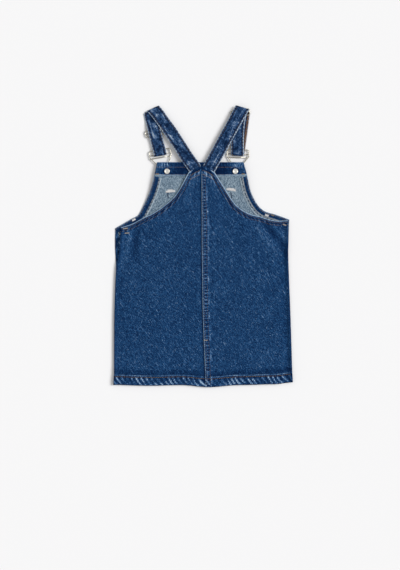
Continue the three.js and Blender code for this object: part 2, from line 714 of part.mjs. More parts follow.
// A wire buckle: a frame for the strap, with its two bars, that narrows to a keyhole round the shank.
function buckle({ x, y, turn, button }) {
  const half = BUCKLE_SIZE.width / 2;
  const { height, lowBar, turnBar, barZ, loopZ } = BUCKLE_SIZE;
  const place = new THREE.Matrix4()
    .makeRotationZ(THREE.MathUtils.degToRad(turn))
    .setPosition(x, y, barZ);
  const at = (px, py) => new THREE.Vector3(px, py, 0).applyMatrix4(place);
  const centre = new THREE.Vector3(button.x, button.y, loopZ);
  const toBar = new THREE.Vector3(x - button.x, y - button.y, 0).normalize();
  const side = new THREE.Vector3(toBar.y, -toBar.x, 0);
  const hole = (along, across) =>
    centre.clone().addScaledVector(toBar, along).addScaledVector(side, across);
  const radius = SHANK_RADIUS + GAP + WIRE + 0.5;
  const loop = [];
  for (let i = 0; i <= 8; i++) {
    const angle = mix(-0.3, Math.PI + 0.3, i / 8);
    loop.push(hole(-radius * Math.sin(angle), radius * Math.cos(angle)));
  }
  const upper = roundedPath([at(half, 0), at(half, height), at(-half, height), at(-half, 0)], 5);
  const neckLeft = BUCKLE_NECK.map(({ along, across }) => hole(along, -across));
  const neckRight = BUCKLE_NECK.map(({ along, across }) => hole(along, across)).reverse();
  const topCorners = upper.slice(5, 15); // the rounded path without its two lower corners
  const path = [...topCorners, at(-half, 3), ...neckLeft, ...loop.reverse(), ...neckRight, at(half, 3)];
  const bars = [lowBar, turnBar].map((up) => wire([at(-half, up), at(0, up), at(half, up)], WIRE * 0.95, false));
  return joined([wire(path, WIRE, true), ...bars]);
}

// A round piece about the upright axis at a place, from its profile of radius and height.
function turned(profile, { x, y }) {
  const points = profile.map(([radius, height]) => new THREE.Vector2(radius, height));
  const geometry = new THREE.LatheGeometry(points, 20);
  geometry.rotateX(Math.PI / 2);
  geometry.translate(x, y, 0);
  const merged = mergeVertices(stripped(geometry), 1e-4);
  return solidFrom(merged);
}

function stripped(geometry) {
  geometry.deleteAttribute("normal");
  geometry.deleteAttribute("uv");
  return geometry;
}

// A merged geometry again, without the triangles that closed up on the axis.
function solidFrom(geometry) {
  const position = geometry.attributes.position;
  const points = [];
  for (let i = 0; i < position.count; i++) points.push(new THREE.Vector3().fromBufferAttribute(position, i));
  const triangles = [];
  const index = geometry.index.array;
  for (let i = 0; i < index.length; i += 3) {
    const [p, q, r] = index.slice(i, i + 3);
    if (p !== q && q !== r && r !== p) triangles.push(p, q, r);
  }
  return solid(points, triangles);
}

// The button's cap lies on the surface, and its shank stands up to the cloth.
function button(place) {
  const top = frontUnder(place.x, place.y) - GAP;
  const profile = [
    [0, 0],
    [CAP_RADIUS - 1.6, 0],
    [CAP_RADIUS - 0.4, 0.7],
    [CAP_RADIUS, 1.5],
    [CAP_RADIUS - 0.5, CAP_HEIGHT - 0.4],
    [CAP_RADIUS - 1.5, CAP_HEIGHT],
    [SHANK_RADIUS, CAP_HEIGHT],
    [SHANK_RADIUS, top],
    [0, top],
  ];
  return turned(profile, place);
}

// The tack lies on the bib's turned hem, a low disc with a rolled rim.
function tack(place) {
  const floor = frontTop(place.x, place.y) + PLY + 2 * GAP;
  const profile = [
    [0, floor],
    [TACK_RADIUS - 0.3, floor],
    [TACK_RADIUS, floor + 0.5],
    [TACK_RADIUS - 0.5, floor + TACK_HEIGHT],
    [TACK_RADIUS - 1.6, floor + TACK_HEIGHT],
    [TACK_RADIUS - 2.2, floor + TACK_HEIGHT - 0.4],
    [0, floor + TACK_HEIGHT - 0.4],
  ];
  return turned(profile, place);
}

const dress = new THREE.Group();

function add(name, geometry, material) {
  const mesh = new THREE.Mesh(geometry, material);
  mesh.name = name;
  dress.add(mesh);
}

add("front_panel", frontPanel(), DENIM_INSIDE);
add("bib_top_hem", bibTopHem(), DENIM);
add("armhole_ply_left", armholePly("l"), DENIM);
add("armhole_ply_right", armholePly("r"), DENIM);
add("bib_pocket", bibPocket(), DENIM);
add("back_left", backLeft(), DENIM);
add("back_right", backRight(), DENIM);
add("strap_left", strap(STRAP_LEFT), DENIM);
add("strap_right", strap(STRAP_RIGHT), DENIM);
for (const item of SLIDERS) add(item.name, slider(item), STEEL);
for (const item of BUCKLES) add(item.name, buckle(item), STEEL);
add("button_left", button(BUTTON_LEFT), STEEL);
add("button_right", button(BUTTON_RIGHT), STEEL);
add("tack_left", tack(BUTTON_LEFT), STEEL);
add("tack_right", tack(BUTTON_RIGHT), STEEL);

export default dress;
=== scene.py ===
# %% [markdown]
# A child's denim pinafore dress, laid flat on its front
#
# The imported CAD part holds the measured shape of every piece, and this notebook dresses it. Each cloth
# piece is rebuilt as a thin shell on the same sections at about 2 mm, with its creases, puckered seams
# and turned edges, and the wires, buttons and tack backs are modelled again with round wire and rims.
# Lengths are in millimetres in the tables and are turned to metres when a mesh is made.

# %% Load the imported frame
import math

import bpy
import numpy as np
from mathutils import Matrix, Vector


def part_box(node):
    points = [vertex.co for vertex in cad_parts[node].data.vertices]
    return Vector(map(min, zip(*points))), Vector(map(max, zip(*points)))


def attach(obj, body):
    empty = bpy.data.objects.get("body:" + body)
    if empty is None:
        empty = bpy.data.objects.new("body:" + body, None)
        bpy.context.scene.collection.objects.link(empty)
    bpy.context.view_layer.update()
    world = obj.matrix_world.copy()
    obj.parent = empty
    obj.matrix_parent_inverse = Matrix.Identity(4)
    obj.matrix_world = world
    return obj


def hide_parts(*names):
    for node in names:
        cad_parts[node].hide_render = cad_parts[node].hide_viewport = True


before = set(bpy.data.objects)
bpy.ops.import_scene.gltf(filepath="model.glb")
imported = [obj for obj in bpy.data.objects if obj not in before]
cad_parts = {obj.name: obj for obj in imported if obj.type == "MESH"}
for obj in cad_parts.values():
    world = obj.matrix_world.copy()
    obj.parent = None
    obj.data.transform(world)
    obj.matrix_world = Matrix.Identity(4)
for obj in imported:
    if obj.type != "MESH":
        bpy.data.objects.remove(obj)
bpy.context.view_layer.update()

MM = 0.001
print("nodes:", len(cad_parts))

# %% [markdown]
# The shape tables
#
# A pattern cutter gives a panel by its outline. Here each row of a table is one line across the panel,
# with its left and right end, from the hem upwards. A smooth curve runs through the ends, and breaks at
# the rows named as corners. The tables are the same as those of the CAD part, so both agree.

# %% Sections of the front and of both halves of the back
FRONT = np.array([
    (-188.6, -291.5, 188.6, -286.0), (-187.4, -271.0, 187.4, -266.0), (-187.0, -262.0, 187.0, -257.0),
    (-186.3, -151.6, 183.5, -151.6), (-183.3, -54.4, 179.1, -33.8), (-184.8, 1.5, 179.6, 12.6),
    (-184.4, 37.2, 180.8, 55.7), (-151.4, 56.5, 152.0, 66.0), (-136.9, 64.5, 128.9, 73.3),
    (-126.5, 82.0, 112.8, 88.8), (-111.1, 115.5, 99.5, 115.5), (-102.3, 147.8, 92.2, 147.8),
    (-96.4, 175.8, 84.8, 175.8)])
FRONT_CORNERS = (0, 6, 12)

BACK_LEFT = np.array([
    (-188.2, -291.5, 5.0, -296.0), (-187.2, -271.0, 4.6, -273.5), (-186.8, -262.0, 4.4, -264.0),
    (-186.3, -151.6, -0.1, -152.0), (-183.0, -54.4, -1.8, -54.0), (-177.0, -18.9, -2.2, -16.0),
    (-173.9, 20.4, -2.5, 22.0), (-173.0, 38.6, -2.6, 44.0), (-149.7, 46.0, -2.6, 62.0),
    (-125.6, 58.8, -2.7, 78.0), (-105.2, 68.3, -2.8, 93.0), (-80.0, 85.5, -2.9, 112.0),
    (-55.2, 109.6, -3.1, 134.0), (-30.2, 153.7, -3.2, 167.4)])
BACK_LEFT_CORNERS = (0, 7, 13)

BACK_RIGHT = np.array([
    (5.3, -296.0, 188.3, -286.0), (4.9, -273.5, 187.2, -266.0), (4.7, -264.0, 186.8, -257.0),
    (0.2, -152.0, 183.5, -151.6), (-1.5, -54.0, 179.0, -33.8), (-2.2, 10.0, 178.6, 20.0),
    (-2.3, 46.0, 177.7, 53.4), (-2.3, 62.0, 150.0, 53.0), (-2.4, 78.0, 118.0, 61.8),
    (-2.5, 93.0, 93.7, 68.5), (-2.6, 112.0, 69.0, 85.5), (-2.8, 134.0, 50.5, 111.5),
    (-2.9, 167.4, 24.4, 153.7)])
BACK_RIGHT_CORNERS = (0, 6, 12)
NECK_ARCH = 1.8  # rise of the back's neck between the two straps

HEM_LINE = np.array([(-189, -291.5), (-112, -293.2), (-45, -291.8), (12, -296.2), (75, -291.8),
                     (150, -290.0), (189, -286.0)])
print("rows in the tables:", len(FRONT), len(BACK_LEFT), len(BACK_RIGHT))

# %% [markdown]
# Heights
#
# Flat cloth is never quite flat. The front lies on the surface, over its pocket and up over the buttons,
# and the back lies on the front with air and turned edges between them. A height as a function of the
# place is the easiest way to keep the layers apart, because each layer starts from the one below.

# %% Functions of the place that give each layer's height
CLOTH = 1.2
PLY = 1.0
GAP = 0.3
STRAP = 1.8
HEM_DEPTH = 21
HEM_RAISE = 0.8
HEM_WAVE = (-262, -170)
ARMHOLE_HEM = 9.5
ARMHOLE_PLY = 16
BIB_HEM = 27.5
BIB_TOP = 175.8
BIB_LIFT = (4.8, 6.1)  # height of the bib in its middle and over its buttons
BIB_RISE = (70, 146)  # where it comes up off the table
STRAP_WIDTH = 27
FELL_WIDTH = 10.5
NECK_MIDDLE = -3
NECK_EDGE = [(-30.2, 153.7), (-17, 161.6), (NECK_MIDDLE, 167.4), (11, 161.6), (24.4, 153.7)]
POCKET = {"left": -80, "right": 71, "top": 119, "bottom": -8, "corner": 20, "taper": 4, "wall": 1.0}


def rise(a, b, value):
    """0 below a, 1 above b, with a smooth rise between."""
    t = np.clip((np.asarray(value, float) - a) / (b - a), 0, 1)
    return t * t * (3 - 2 * t)


def fall(a, b, value):
    return 1 - rise(a, b, value)


def mix(a, b, t):
    return a + (b - a) * t


def hump(value, at, width):
    """1 where the value is at a place, fading to nothing about two widths away."""
    return np.exp(-((value - at) / width) ** 2)


def reach_of(path):
    """How far along a path each of its points lies."""
    return np.concatenate([[0], np.cumsum(np.linalg.norm(np.diff(path, axis=0), axis=1))])


def value_at(at, reach, values):
    """The place or direction at a distance along a path, between those of its points."""
    return np.array([np.interp(at, reach, column) for column in values.T])


def through(o, p, q, r, t):
    """A smooth curve from p to q, where o comes before and r after."""
    t2, t3 = t * t, t * t * t
    slope_p, slope_q = (q - o) / 2, (r - p) / 2
    ends = (2 * t3 - 3 * t2 + 1) * p + (3 * t2 - 2 * t3) * q
    return ends + (t3 - 2 * t2 + t) * slope_p + (t3 - t2) * slope_q


def hem_line(x):
    """How far down the hem reaches at x."""
    x = np.asarray(x, float)
    i = np.clip(np.searchsorted(HEM_LINE[:, 0], x, side="right") - 1, 0, len(HEM_LINE) - 2)
    p, q = HEM_LINE[i], HEM_LINE[i + 1]
    return mix(p[..., 1], q[..., 1], rise(0, 1, (x - p[..., 0]) / (q[..., 0] - p[..., 0])))


def near_line(x, y, x1, y1, x2, y2):
    """Distance from each place to a straight line, and how far along it the nearest point is."""
    dx, dy = x2 - x1, y2 - y1
    t = np.clip(((x - x1) * dx + (y - y1) * dy) / (dx * dx + dy * dy), 0, 1)
    return np.hypot(x - x1 - t * dx, y - y1 - t * dy), t


def edge_distance(x, y, edge):
    """Distance from each place to an edge that is given as points in order."""
    least = np.full(np.shape(x), 1e9)
    for (x1, y1), (x2, y2) in zip(edge[:-1], edge[1:]):
        least = np.minimum(least, near_line(x, y, x1, y1, x2, y2)[0])
    return least


def front_under(x, y):
    """The front's underside: up over its pocket and its buttons."""
    bib = rise(*BIB_RISE, y)
    lift = mix(*BIB_LIFT, rise(24, 56, np.abs(x + 4))) * bib
    outside = np.maximum.reduce([POCKET["left"] - x, x - POCKET["right"],
                                 y - POCKET["top"], POCKET["bottom"] - y])
    pocket = (POCKET["wall"] + GAP + 0.1) * fall(14, 40, outside)
    return lift + pocket * (1 - bib)


def hem_raise(x, y):
    return HEM_RAISE * fall(HEM_DEPTH - 1, HEM_DEPTH + 3, y - hem_line(x))


def front_top(x, y):
    return front_under(x, y) + CLOTH + hem_raise(x, y)


def layers_between(x, y):
    """What lies between front and back: the front's hem, the armhole plies and the straps' ends."""
    hem = HEM_RAISE * fall(HEM_DEPTH + 6, HEM_DEPTH + 30, y - hem_line(x))
    return hem + (PLY + GAP) * rise(-22, 8, y) + (STRAP + GAP) * rise(108, 140, y)


print("front's height over the pocket and at a button:",
      np.round(front_top(np.array([0.0, 67.6]), np.array([60.0, 156.7])), 2))

# %% [markdown]
# Folds
#
# Denim that has been worn and laid down keeps a few soft troughs and ridges. Each is drawn as a
# line with a width and a height, and fades towards its ends, which leaves it uneven like a real crease.
# The large ones are in the CAD part as well, and the fine ones near the underarms are only here.

# %% Folds of the back, and the slow unevenness of the cloth
BACK_FOLDS = [  # x1, y1, x2, y2, half-width, height
    (134, 44, 166, 10, 8, -1.1), (166, 10, 178, -20, 7, -0.9), (150, 40, 176, 12, 7, 0.9),
    (118, 40, 150, -8, 9, 0.7), (-154, 36, -162, -24, 7, 0.9), (-140, 36, -146, -30, 8, -0.8),
    (-124, 44, -132, -10, 9, 0.6), (-92, -262, -78, -110, 26, 0.8), (-140, -230, -128, -60, 20, -0.6),
    (62, -262, 88, -70, 28, 0.8), (126, -250, 146, -90, 20, -0.7), (-40, -40, -30, 90, 22, 0.5),
    (48, -30, 40, 80, 22, -0.4)]

FINE_FOLDS = [
    (146, 46, 160, 30, 3, 0.45), (152, 44, 170, 22, 3, -0.4), (160, 34, 172, 4, 3, 0.4),
    (128, 46, 150, 22, 3.5, -0.4), (168, 26, 174, -16, 3, 0.35), (172, 10, 176, -44, 3.5, -0.35),
    (-166, 34, -170, -6, 2.6, 0.4), (-158, 38, -164, 2, 3, -0.4), (-148, 38, -152, 6, 3, 0.35),
    (-134, 40, -139, 8, 3, -0.3), (-168, -12, -176, -60, 3, 0.3), (-24, 140, -38, 96, 5, 0.35),
    (20, 140, 32, 100, 5, 0.35), (-12, 150, -16, 120, 4, -0.25), (-178, -190, -182, -262, 4, 0.3),
    (166, -262, 178, -190, 5, 0.4), (172, -150, 177, -240, 4, -0.3), (110, -262, 140, -220, 6, 0.3),
    (-150, -262, -128, -236, 6, 0.3)]


def fold_height(x, y, folds):
    height = np.zeros(np.shape(x))
    for x1, y1, x2, y2, width, top in folds:
        distance, t = near_line(x, y, x1, y1, x2, y2)
        height += top * hump(distance, 0, width) * (0.6 + 0.4 * np.sin(math.pi * t))
    return height


def unevenness(x, y, size, seed):
    """Slow waves of about that size in mm, from -1 to 1, the same on every run."""
    random = np.random.default_rng(seed)
    total = np.zeros(np.broadcast_shapes(np.shape(x), np.shape(y)))
    for _ in range(9):
        angle, phase, stretch = random.uniform(0, 2 * math.pi, 3)
        wave = 2 * math.pi / (size * (0.7 + stretch / 6))
        total += np.sin(wave * (x * math.cos(angle) + y * math.sin(angle)) + phase)
    return total / 4.5


print("folds by hand:", len(BACK_FOLDS) + len(FINE_FOLDS))

# %% [markdown]
# Grids of cloth
#
# A panel could be a plane cut along its outline, but then its rows would not follow its edges, and a
# turned edge needs rows that do. So each panel is a grid between its left and right ends, fine near the
# edges and the hem. The lower side is a second grid, and a rounded rim joins them, which gives the wall.

# %% Rows and columns of a panel
def rows_of(table, corners, step, arch=0):
    """The table's ends at every step, smooth but for the corners. The top row rises in the middle by arch."""
    table = np.column_stack([table, np.zeros(len(table))])
    table[-1, 4] = arch
    rows = []
    for i in range(len(table) - 1):
        here, after = table[i], table[i + 1]
        before = 2 * here - after if i in corners or i == 0 else table[i - 1]
        beyond = 2 * after - here if i + 1 in corners or i + 2 >= len(table) else table[i + 2]
        length = max(math.dist(here[:2], after[:2]), math.dist(here[2:4], after[2:4]))
        count = max(1, math.ceil(length / step))
        rows += [through(before, here, after, beyond, k / count) for k in range(count)]
    return np.array(rows + [table[-1]])


def panel_places(rows, shares):
    """x and y of the grid, with the lowest rows moved down on to the hem line."""
    left, right = rows[:, None, 0:2], rows[:, None, 2:4]
    place = mix(left, right, shares[..., None])
    x, y = place[..., 0], place[..., 1]
    chord = mix(rows[0, 1], rows[0, 3], shares)
    arch = rows[:, None, 4] * np.sin(math.pi * shares)
    return x, y + (hem_line(x) - chord) * fall(*HEM_WAVE, y) + arch


def shares_between(width, fine, coarse, edge_left, edge_right):
    """Shares across each row: a fixed fine step near both ends and the rest spread evenly."""
    a = np.minimum(edge_left, 0.36 * width)
    b = np.minimum(edge_right, 0.36 * width)
    near_left = np.arange(round(edge_left / fine) + 1) * fine
    near_right = np.arange(round(edge_right / fine) + 1)[::-1] * fine
    count = math.ceil((width.max() - edge_left - edge_right) / coarse)
    middle = (np.arange(1, count) / count)[None]
    left = near_left[None] * (a / edge_left)[:, None]
    right = width[:, None] - near_right[None] * (b / edge_right)[:, None]
    spread = mix(a[:, None], (width - b)[:, None], middle)
    return np.concatenate([left, spread, right], axis=1) / width[:, None]


def edge_above(rows, side, corner):
    """The left or right ends of the rows, from the row that holds the corner upwards."""
    ends = rows[:, 0:2] if side == "l" else rows[:, 2:4]
    return ends[np.argmin(np.linalg.norm(ends - corner, axis=1)):]


def widths_of(rows):
    return np.hypot(rows[:, 2] - rows[:, 0], rows[:, 3] - rows[:, 1])


front_rows = rows_of(FRONT, FRONT_CORNERS, 2.6)
left_rows = rows_of(BACK_LEFT, BACK_LEFT_CORNERS, 2.1, NECK_ARCH)
right_rows = rows_of(BACK_RIGHT, BACK_RIGHT_CORNERS, 2.1, NECK_ARCH)
armhole_left = edge_above(left_rows, "l", BACK_LEFT[7, 0:2])
armhole_right = edge_above(right_rows, "r", BACK_RIGHT[6, 2:4])
print("rows:", len(front_rows), len(left_rows), len(right_rows))

# %% [markdown]
# From two grids to one closed shell
#
# The wall of a cloth needs its inside as well, because the dress is seen from every side. The upper and
# lower grid share one outline, and the rim between them bulges a little, as a folded edge of denim does.
# What the finish needs to know is kept on the points: how far each lies from a worn edge, how much the
# wash has paled or spared it and where shade is painted on it, and whether it shows the right or the
# wrong side of the denim.

# %% Mesh of a closed cloth shell
def new_mesh(name, points, faces, finishes, slots=None, values=None):
    """An object from points in mm, with its finishes and a value on each point for every name in values."""
    mesh = bpy.data.meshes.new(name)
    mesh.from_pydata((np.asarray(points) * MM).tolist(), [], [list(map(int, f)) for f in faces])
    for finish in finishes:
        mesh.materials.append(finish)
    for key, value in (values or {}).items():
        attribute = mesh.attributes.new(key, "FLOAT", "POINT")
        attribute.data.foreach_set("value", np.asarray(value, np.float32))
    if slots is not None:
        mesh.polygons.foreach_set("material_index", np.asarray(slots, np.int32))
    mesh.polygons.foreach_set("use_smooth", np.ones(len(mesh.polygons), bool))
    mesh.update()
    obj = bpy.data.objects.new(name, mesh)
    bpy.context.collection.objects.link(obj)
    return obj


def cloth_shell(name, x, y, top, under, finishes, values, rim=0.35):
    """A closed wall between two heights over one grid, with a finish for its upper and its lower side."""
    rows, columns = x.shape
    size = rows * columns
    index = np.arange(size).reshape(rows, columns)
    quads = np.stack([index[:-1, :-1], index[:-1, 1:], index[1:, 1:], index[1:, :-1]], -1).reshape(-1, 4)
    outline = np.concatenate([index[0, :-1], index[:-1, -1], index[-1, :0:-1], index[:0:-1, 0]])
    px, py = x.ravel()[outline], y.ravel()[outline]
    ahead_x, ahead_y = np.roll(px, -1) - np.roll(px, 1), np.roll(py, -1) - np.roll(py, 1)
    length = np.maximum(np.hypot(ahead_x, ahead_y), 1e-6)
    middle = 0.5 * (top.ravel()[outline] + under.ravel()[outline])
    edge = np.column_stack([px + rim * ahead_y / length, py - rim * ahead_x / length, middle])
    upper = np.column_stack([x.ravel(), y.ravel(), top.ravel()])
    lower = np.column_stack([x.ravel(), y.ravel(), under.ravel()])
    ring = 2 * size + np.arange(len(outline))
    after, next_ring = np.roll(outline, -1), np.roll(ring, -1)
    faces = np.concatenate([
        quads,
        quads[:, ::-1] + size,
        np.column_stack([outline, ring, next_ring, after]),
        np.column_stack([ring, outline + size, after + size, next_ring])])
    slots = np.zeros(len(faces), int)
    slots[len(quads):2 * len(quads)] = 1
    laid = {key: np.concatenate([v.ravel(), v.ravel(), v.ravel()[outline]]) for key, v in values.items()}
    return new_mesh(name, np.concatenate([upper, lower, edge]), faces, finishes, slots, laid)


print("cloth shells are ready to be made")

# %% [markdown]
# One function for nodes
#
# Every finish below is a small tree of nodes. Adding a node, setting it and linking it is the same each
# time, so one function does it: the inputs are given by name or number, as values or as other nodes'
# outputs. Colours are written as sRGB hex, as a colour picker gives them, and made linear for Blender.

# %% Colours and nodes
def linear(code):
    """A hex colour as Blender's linear red, green, blue and alpha."""
    parts = [int(code[i:i + 2], 16) / 255 for i in (1, 3, 5)]
    return [c / 12.92 if c <= 0.04045 else ((c + 0.055) / 1.055) ** 2.4 for c in parts] + [1]


def node(owner, kind, inputs=None, output=0, **settings):
    """Adds a node, sets its properties, and gives its inputs values or links. Returns one output."""
    tree = owner.node_tree
    made = tree.nodes.new("ShaderNode" + kind)
    for key, value in settings.items():
        setattr(made, key, value)
    for key, value in (inputs or {}).items():
        if isinstance(value, bpy.types.NodeSocket):
            tree.links.new(value, made.inputs[key])
        else:
            made.inputs[key].default_value = value
    return made if output is None else made.outputs[output]


def blank(name):
    """A new material with its shader, and the shader's surface linked."""
    material = bpy.data.materials.new(name)
    material.use_nodes = True
    material.node_tree.nodes.clear()
    shader = node(material, "BsdfPrincipled", output=None)
    node(material, "OutputMaterial", {"Surface": shader.outputs["BSDF"]}, output=None)
    return material, shader


def finish_of(shader, colour, normal, roughness, specular):
    """Links a shader's colour and relief, and sets how matt it is."""
    tree = shader.id_data
    tree.links.new(colour, shader.inputs["Base Color"])
    tree.links.new(normal, shader.inputs["Normal"])
    shader.inputs["Roughness"].default_value = roughness
    shader.inputs["Specular IOR Level"].default_value = specular


print("denim blue in linear light:", [round(c, 3) for c in linear("#1F3F65")])

# %% [markdown]
# Washed denim
#
# Denim is a twill of indigo warp over a pale weft, so its right side is blue with short pale streaks
# where the weft shows, all on one diagonal. Stone washing pales the ridges, the folded edges and the
# seams, and spares the hollows. The streaks are noise drawn out along the diagonal, in two sizes, with
# a few long scuffs, added up as a tone: 0 is the plain dye, below it the spared cloth and the painted
# shade, and above it the worn. The worn places and the painted shade come from the values on the points,
# so they follow the sewing. A real twill line is 0.5 mm wide, which is too fine to show here, so the
# finest streaks are about 1 mm.

# %% Denim, right side and wrong side
TWILL = math.radians(-54)  # the diagonal's slope as seen from above


def denim(name, dyes, streaks, scratch, slant=TWILL, wash=0.1, line=1.5, matt=0.9):
    """A denim. dyes: its colours at tones -1, 0, 1 and 2.2. streaks: length and width in mm, and strength.
    scratch: how pale its few long scuffs are. wash: how cloudy it is. line: how pale a worn edge gets."""
    material, shader = blank(name)
    place = node(material, "TexCoord", output="Object")
    # This attribute holds both how worn the cloth is and where shade is painted on it.
    tone = node(material, "Attribute", output="Fac", attribute_name="wear_and_shade")
    edge = node(material, "Attribute", output="Fac", attribute_name="edge_mm")

    def drawn(shift, length, width):
        return node(material, "Mapping", {
            "Vector": place, "Location": shift, "Rotation": (0, 0, slant),
            "Scale": (length * MM, width * MM, width * MM)}, vector_type="TEXTURE")

    middle = 0
    for i, (length, width, strength) in enumerate(streaks):
        weave = node(material, "TexNoise", {
            "Vector": drawn((0.37 * i, 0.19 * i, 0), length, width), "Scale": 1.0, "Detail": 1.0,
            "Roughness": 0.6})
        tone = node(material, "Math", {0: weave, 1: strength, 2: tone}, operation="MULTIPLY_ADD")
        middle += strength / 2
    scuff = node(material, "TexNoise", {"Vector": drawn((0.9, 0.4, 0), 22, 1.2), "Scale": 1.0, "Detail": 0.3})
    scuffed = node(material, "MapRange", {
        "Value": scuff, "From Min": 0.64, "From Max": 0.76, "To Max": scratch},
        interpolation_type="SMOOTHSTEP")
    tone = node(material, "Math", {0: tone, 1: scuffed}, operation="ADD")
    cloud = node(material, "TexNoise", {"Vector": place, "Scale": 1 / (36 * MM), "Detail": 1.5})
    tone = node(material, "Math", {0: cloud, 1: 6 * wash, 2: tone}, operation="MULTIPLY_ADD")
    middle += 3 * wash
    worn = node(material, "MapRange", {"Value": edge, "From Min": 2.4, "From Max": 1.2, "To Max": line},
                interpolation_type="SMOOTHSTEP")
    tone = node(material, "Math", {0: tone, 1: worn}, operation="ADD")

    share = node(material, "MapRange", {"Value": tone, "From Min": middle - 1, "From Max": middle + 2.2})
    ramp = node(material, "ValToRGB", {"Fac": share}, output=None)
    for at, dye in zip((0.3125, 0.625), dyes[1:3]):
        ramp.color_ramp.elements.new(at).color = linear(dye)
    ramp.color_ramp.elements[0].color = linear(dyes[0])
    ramp.color_ramp.elements[-1].color = linear(dyes[3])
    relief = node(material, "Bump", {"Strength": 0.5, "Distance": 0.4 * MM, "Height": weave})
    finish_of(shader, ramp.outputs["Color"], relief, matt, 0.04)
    shader.inputs["Sheen Weight"].default_value = 0.02
    shader.inputs["Sheen Roughness"].default_value = 0.5
    return material


washed_denim = denim("washed_indigo_denim", ("#021535", "#0E2E54", "#2C5988", "#A0B7CC"),
                     ((7.0, 0.9, 2.8), (2.0, 0.8, 5.0)), wash=0.05, scratch=0.6, line=2.3)
strap_denim = denim("washed_indigo_denim_strap", ("#06152D", "#142D4F", "#3D5D86", "#AEB9C1"),
                    ((4.4, 1.3, 3.2), (1.8, 1.0, 3.6)), wash=0.10, scratch=0.3, line=1.8)
inside_denim = denim("denim_wrong_side", ("#2C3F55", "#667B8C", "#97A7B3", "#C9CFCF"),
                     ((4, 1.2, 3.8), (1.8, 1.0, 4.4)), slant=-TWILL, wash=0.10, scratch=0.0, line=0.4)
print("denims:", washed_denim.name, strap_denim.name, inside_denim.name)

# %% [markdown]
# Thread and metal
#
# Jeans are sewn with a thick spun polyester thread, tobacco brown on the outside, tan at the strap's end,
# and the overlocked edges inside with a thin pale one. The bobbin's thread shows white behind a bartack.
# All are matt with a faint twist. The buckles, sliders and tacks are steel wire and sheet, nickel plated,
# so they are a smooth warm grey metal that mirrors the room.

# %% Thread and nickel
def thread(name, colour, shade):
    """Spun polyester: matt, with a twist of light and dark along it."""
    material, shader = blank(name)
    place = node(material, "TexCoord", output="Object")
    twist = node(material, "TexNoise", {"Vector": place, "Scale": 1 / (1.1 * MM), "Detail": 0.5})
    share = node(material, "MapRange", {"Value": twist, "From Min": 0.35, "From Max": 0.65})
    tint = node(material, "Mix", {"Factor": share, 6: linear(shade), 7: linear(colour)}, output=2,
                data_type="RGBA")
    relief = node(material, "Bump", {"Strength": 0.3, "Distance": 0.2 * MM, "Height": twist})
    finish_of(shader, tint, relief, 0.75, 0.2)
    return material


def nickel(name, colour, polish):
    """Nickel plate on steel: finely scuffed, so its colour and gloss change a little from place to place."""
    material, shader = blank(name)
    place = node(material, "TexCoord", output="Object")
    scuff = node(material, "TexNoise", {"Vector": place, "Scale": 1 / (2.5 * MM), "Detail": 3.0})
    rough = node(material, "MapRange", {"Value": scuff, "From Min": 0.35, "From Max": 0.65,
                                        "To Min": polish, "To Max": polish + 0.16})
    relief = node(material, "Bump", {"Strength": 0.12, "Distance": 0.2 * MM, "Height": scuff})
    material.node_tree.links.new(rough, shader.inputs["Roughness"])
    material.node_tree.links.new(relief, shader.inputs["Normal"])
    shader.inputs["Base Color"].default_value = linear(colour)
    shader.inputs["Metallic"].default_value = 1.0
    return material


brown_thread = thread("topstitch_thread_tobacco", "#968468", "#5C4E3E")
pale_thread = thread("overlock_thread_ecru", "#B0ABA6", "#7C7874")
bobbin_thread = thread("bobbin_thread_white", "#DEDDDD", "#B4B2B3")
tan_thread = thread("topstitch_thread_tan", "#A27A4E", "#6F4C2A")
# Indigo thread: the pocket's seams inside, and painted shade between the overlock's loops.
indigo_thread_and_loop_shade = thread("seam_thread_indigo_and_loop_shade", "#2B3A55", "#141D33")
nickel_wire = nickel("nickel_plated_wire", "#B4B1A6", 0.24)
nickel_sheet = nickel("nickel_plated_sheet", "#E2E0DA", 0.3)
print("threads and metals: 7")

# %% [markdown]
# The two halves of the back
#
# The back is two panels joined down the middle by a flat-felled seam, whose band is on the right half.
# Its armholes, neck and hem are turned twice and stitched. Sewing draws the cloth up: short puckers
# stand along each seam, and the hem ropes, which means that its ridges lean over. All of that is height
# added to the grid, and the same numbers tell the finish where the wash has paled it. Shade is painted
# too: a dark line on the left half beside the felled band, where the band casts its shadow, and a dark
# strip along the hem's folded bottom edge.

# %% Back panels
ROPE_PITCH = 11.0
SIDE_SEAM = 2.8  # the plies of the side seam hold the back's edge up
HEM_ROW = 17.0  # the hem's row of stitches, up from its fold


def roping(x, up):
    """The hem's leaning ridges, from -1 to 1: they start upright at the stitches and bend away below."""
    lean = x - 13 * np.clip(1 - up / 18, 0, 1) ** 1.5 + 3.4 * unevenness(x, up * 0, 47, 5)
    return np.sin(2 * math.pi * lean / ROPE_PITCH) * (0.78 + 0.3 * unevenness(x, up * 1.5, 31, 6))


def pucker(along, pitch, seed):
    """Short puckers along a seam, from -1 to 1."""
    return np.sin(2 * math.pi * along / pitch + 2.2 * unevenness(along, 0 * along, 40, seed))


def fell_width(y):
    """The felled band, which was sewn narrower towards the neck."""
    return FELL_WIDTH - 2.6 * rise(40, 130, y)


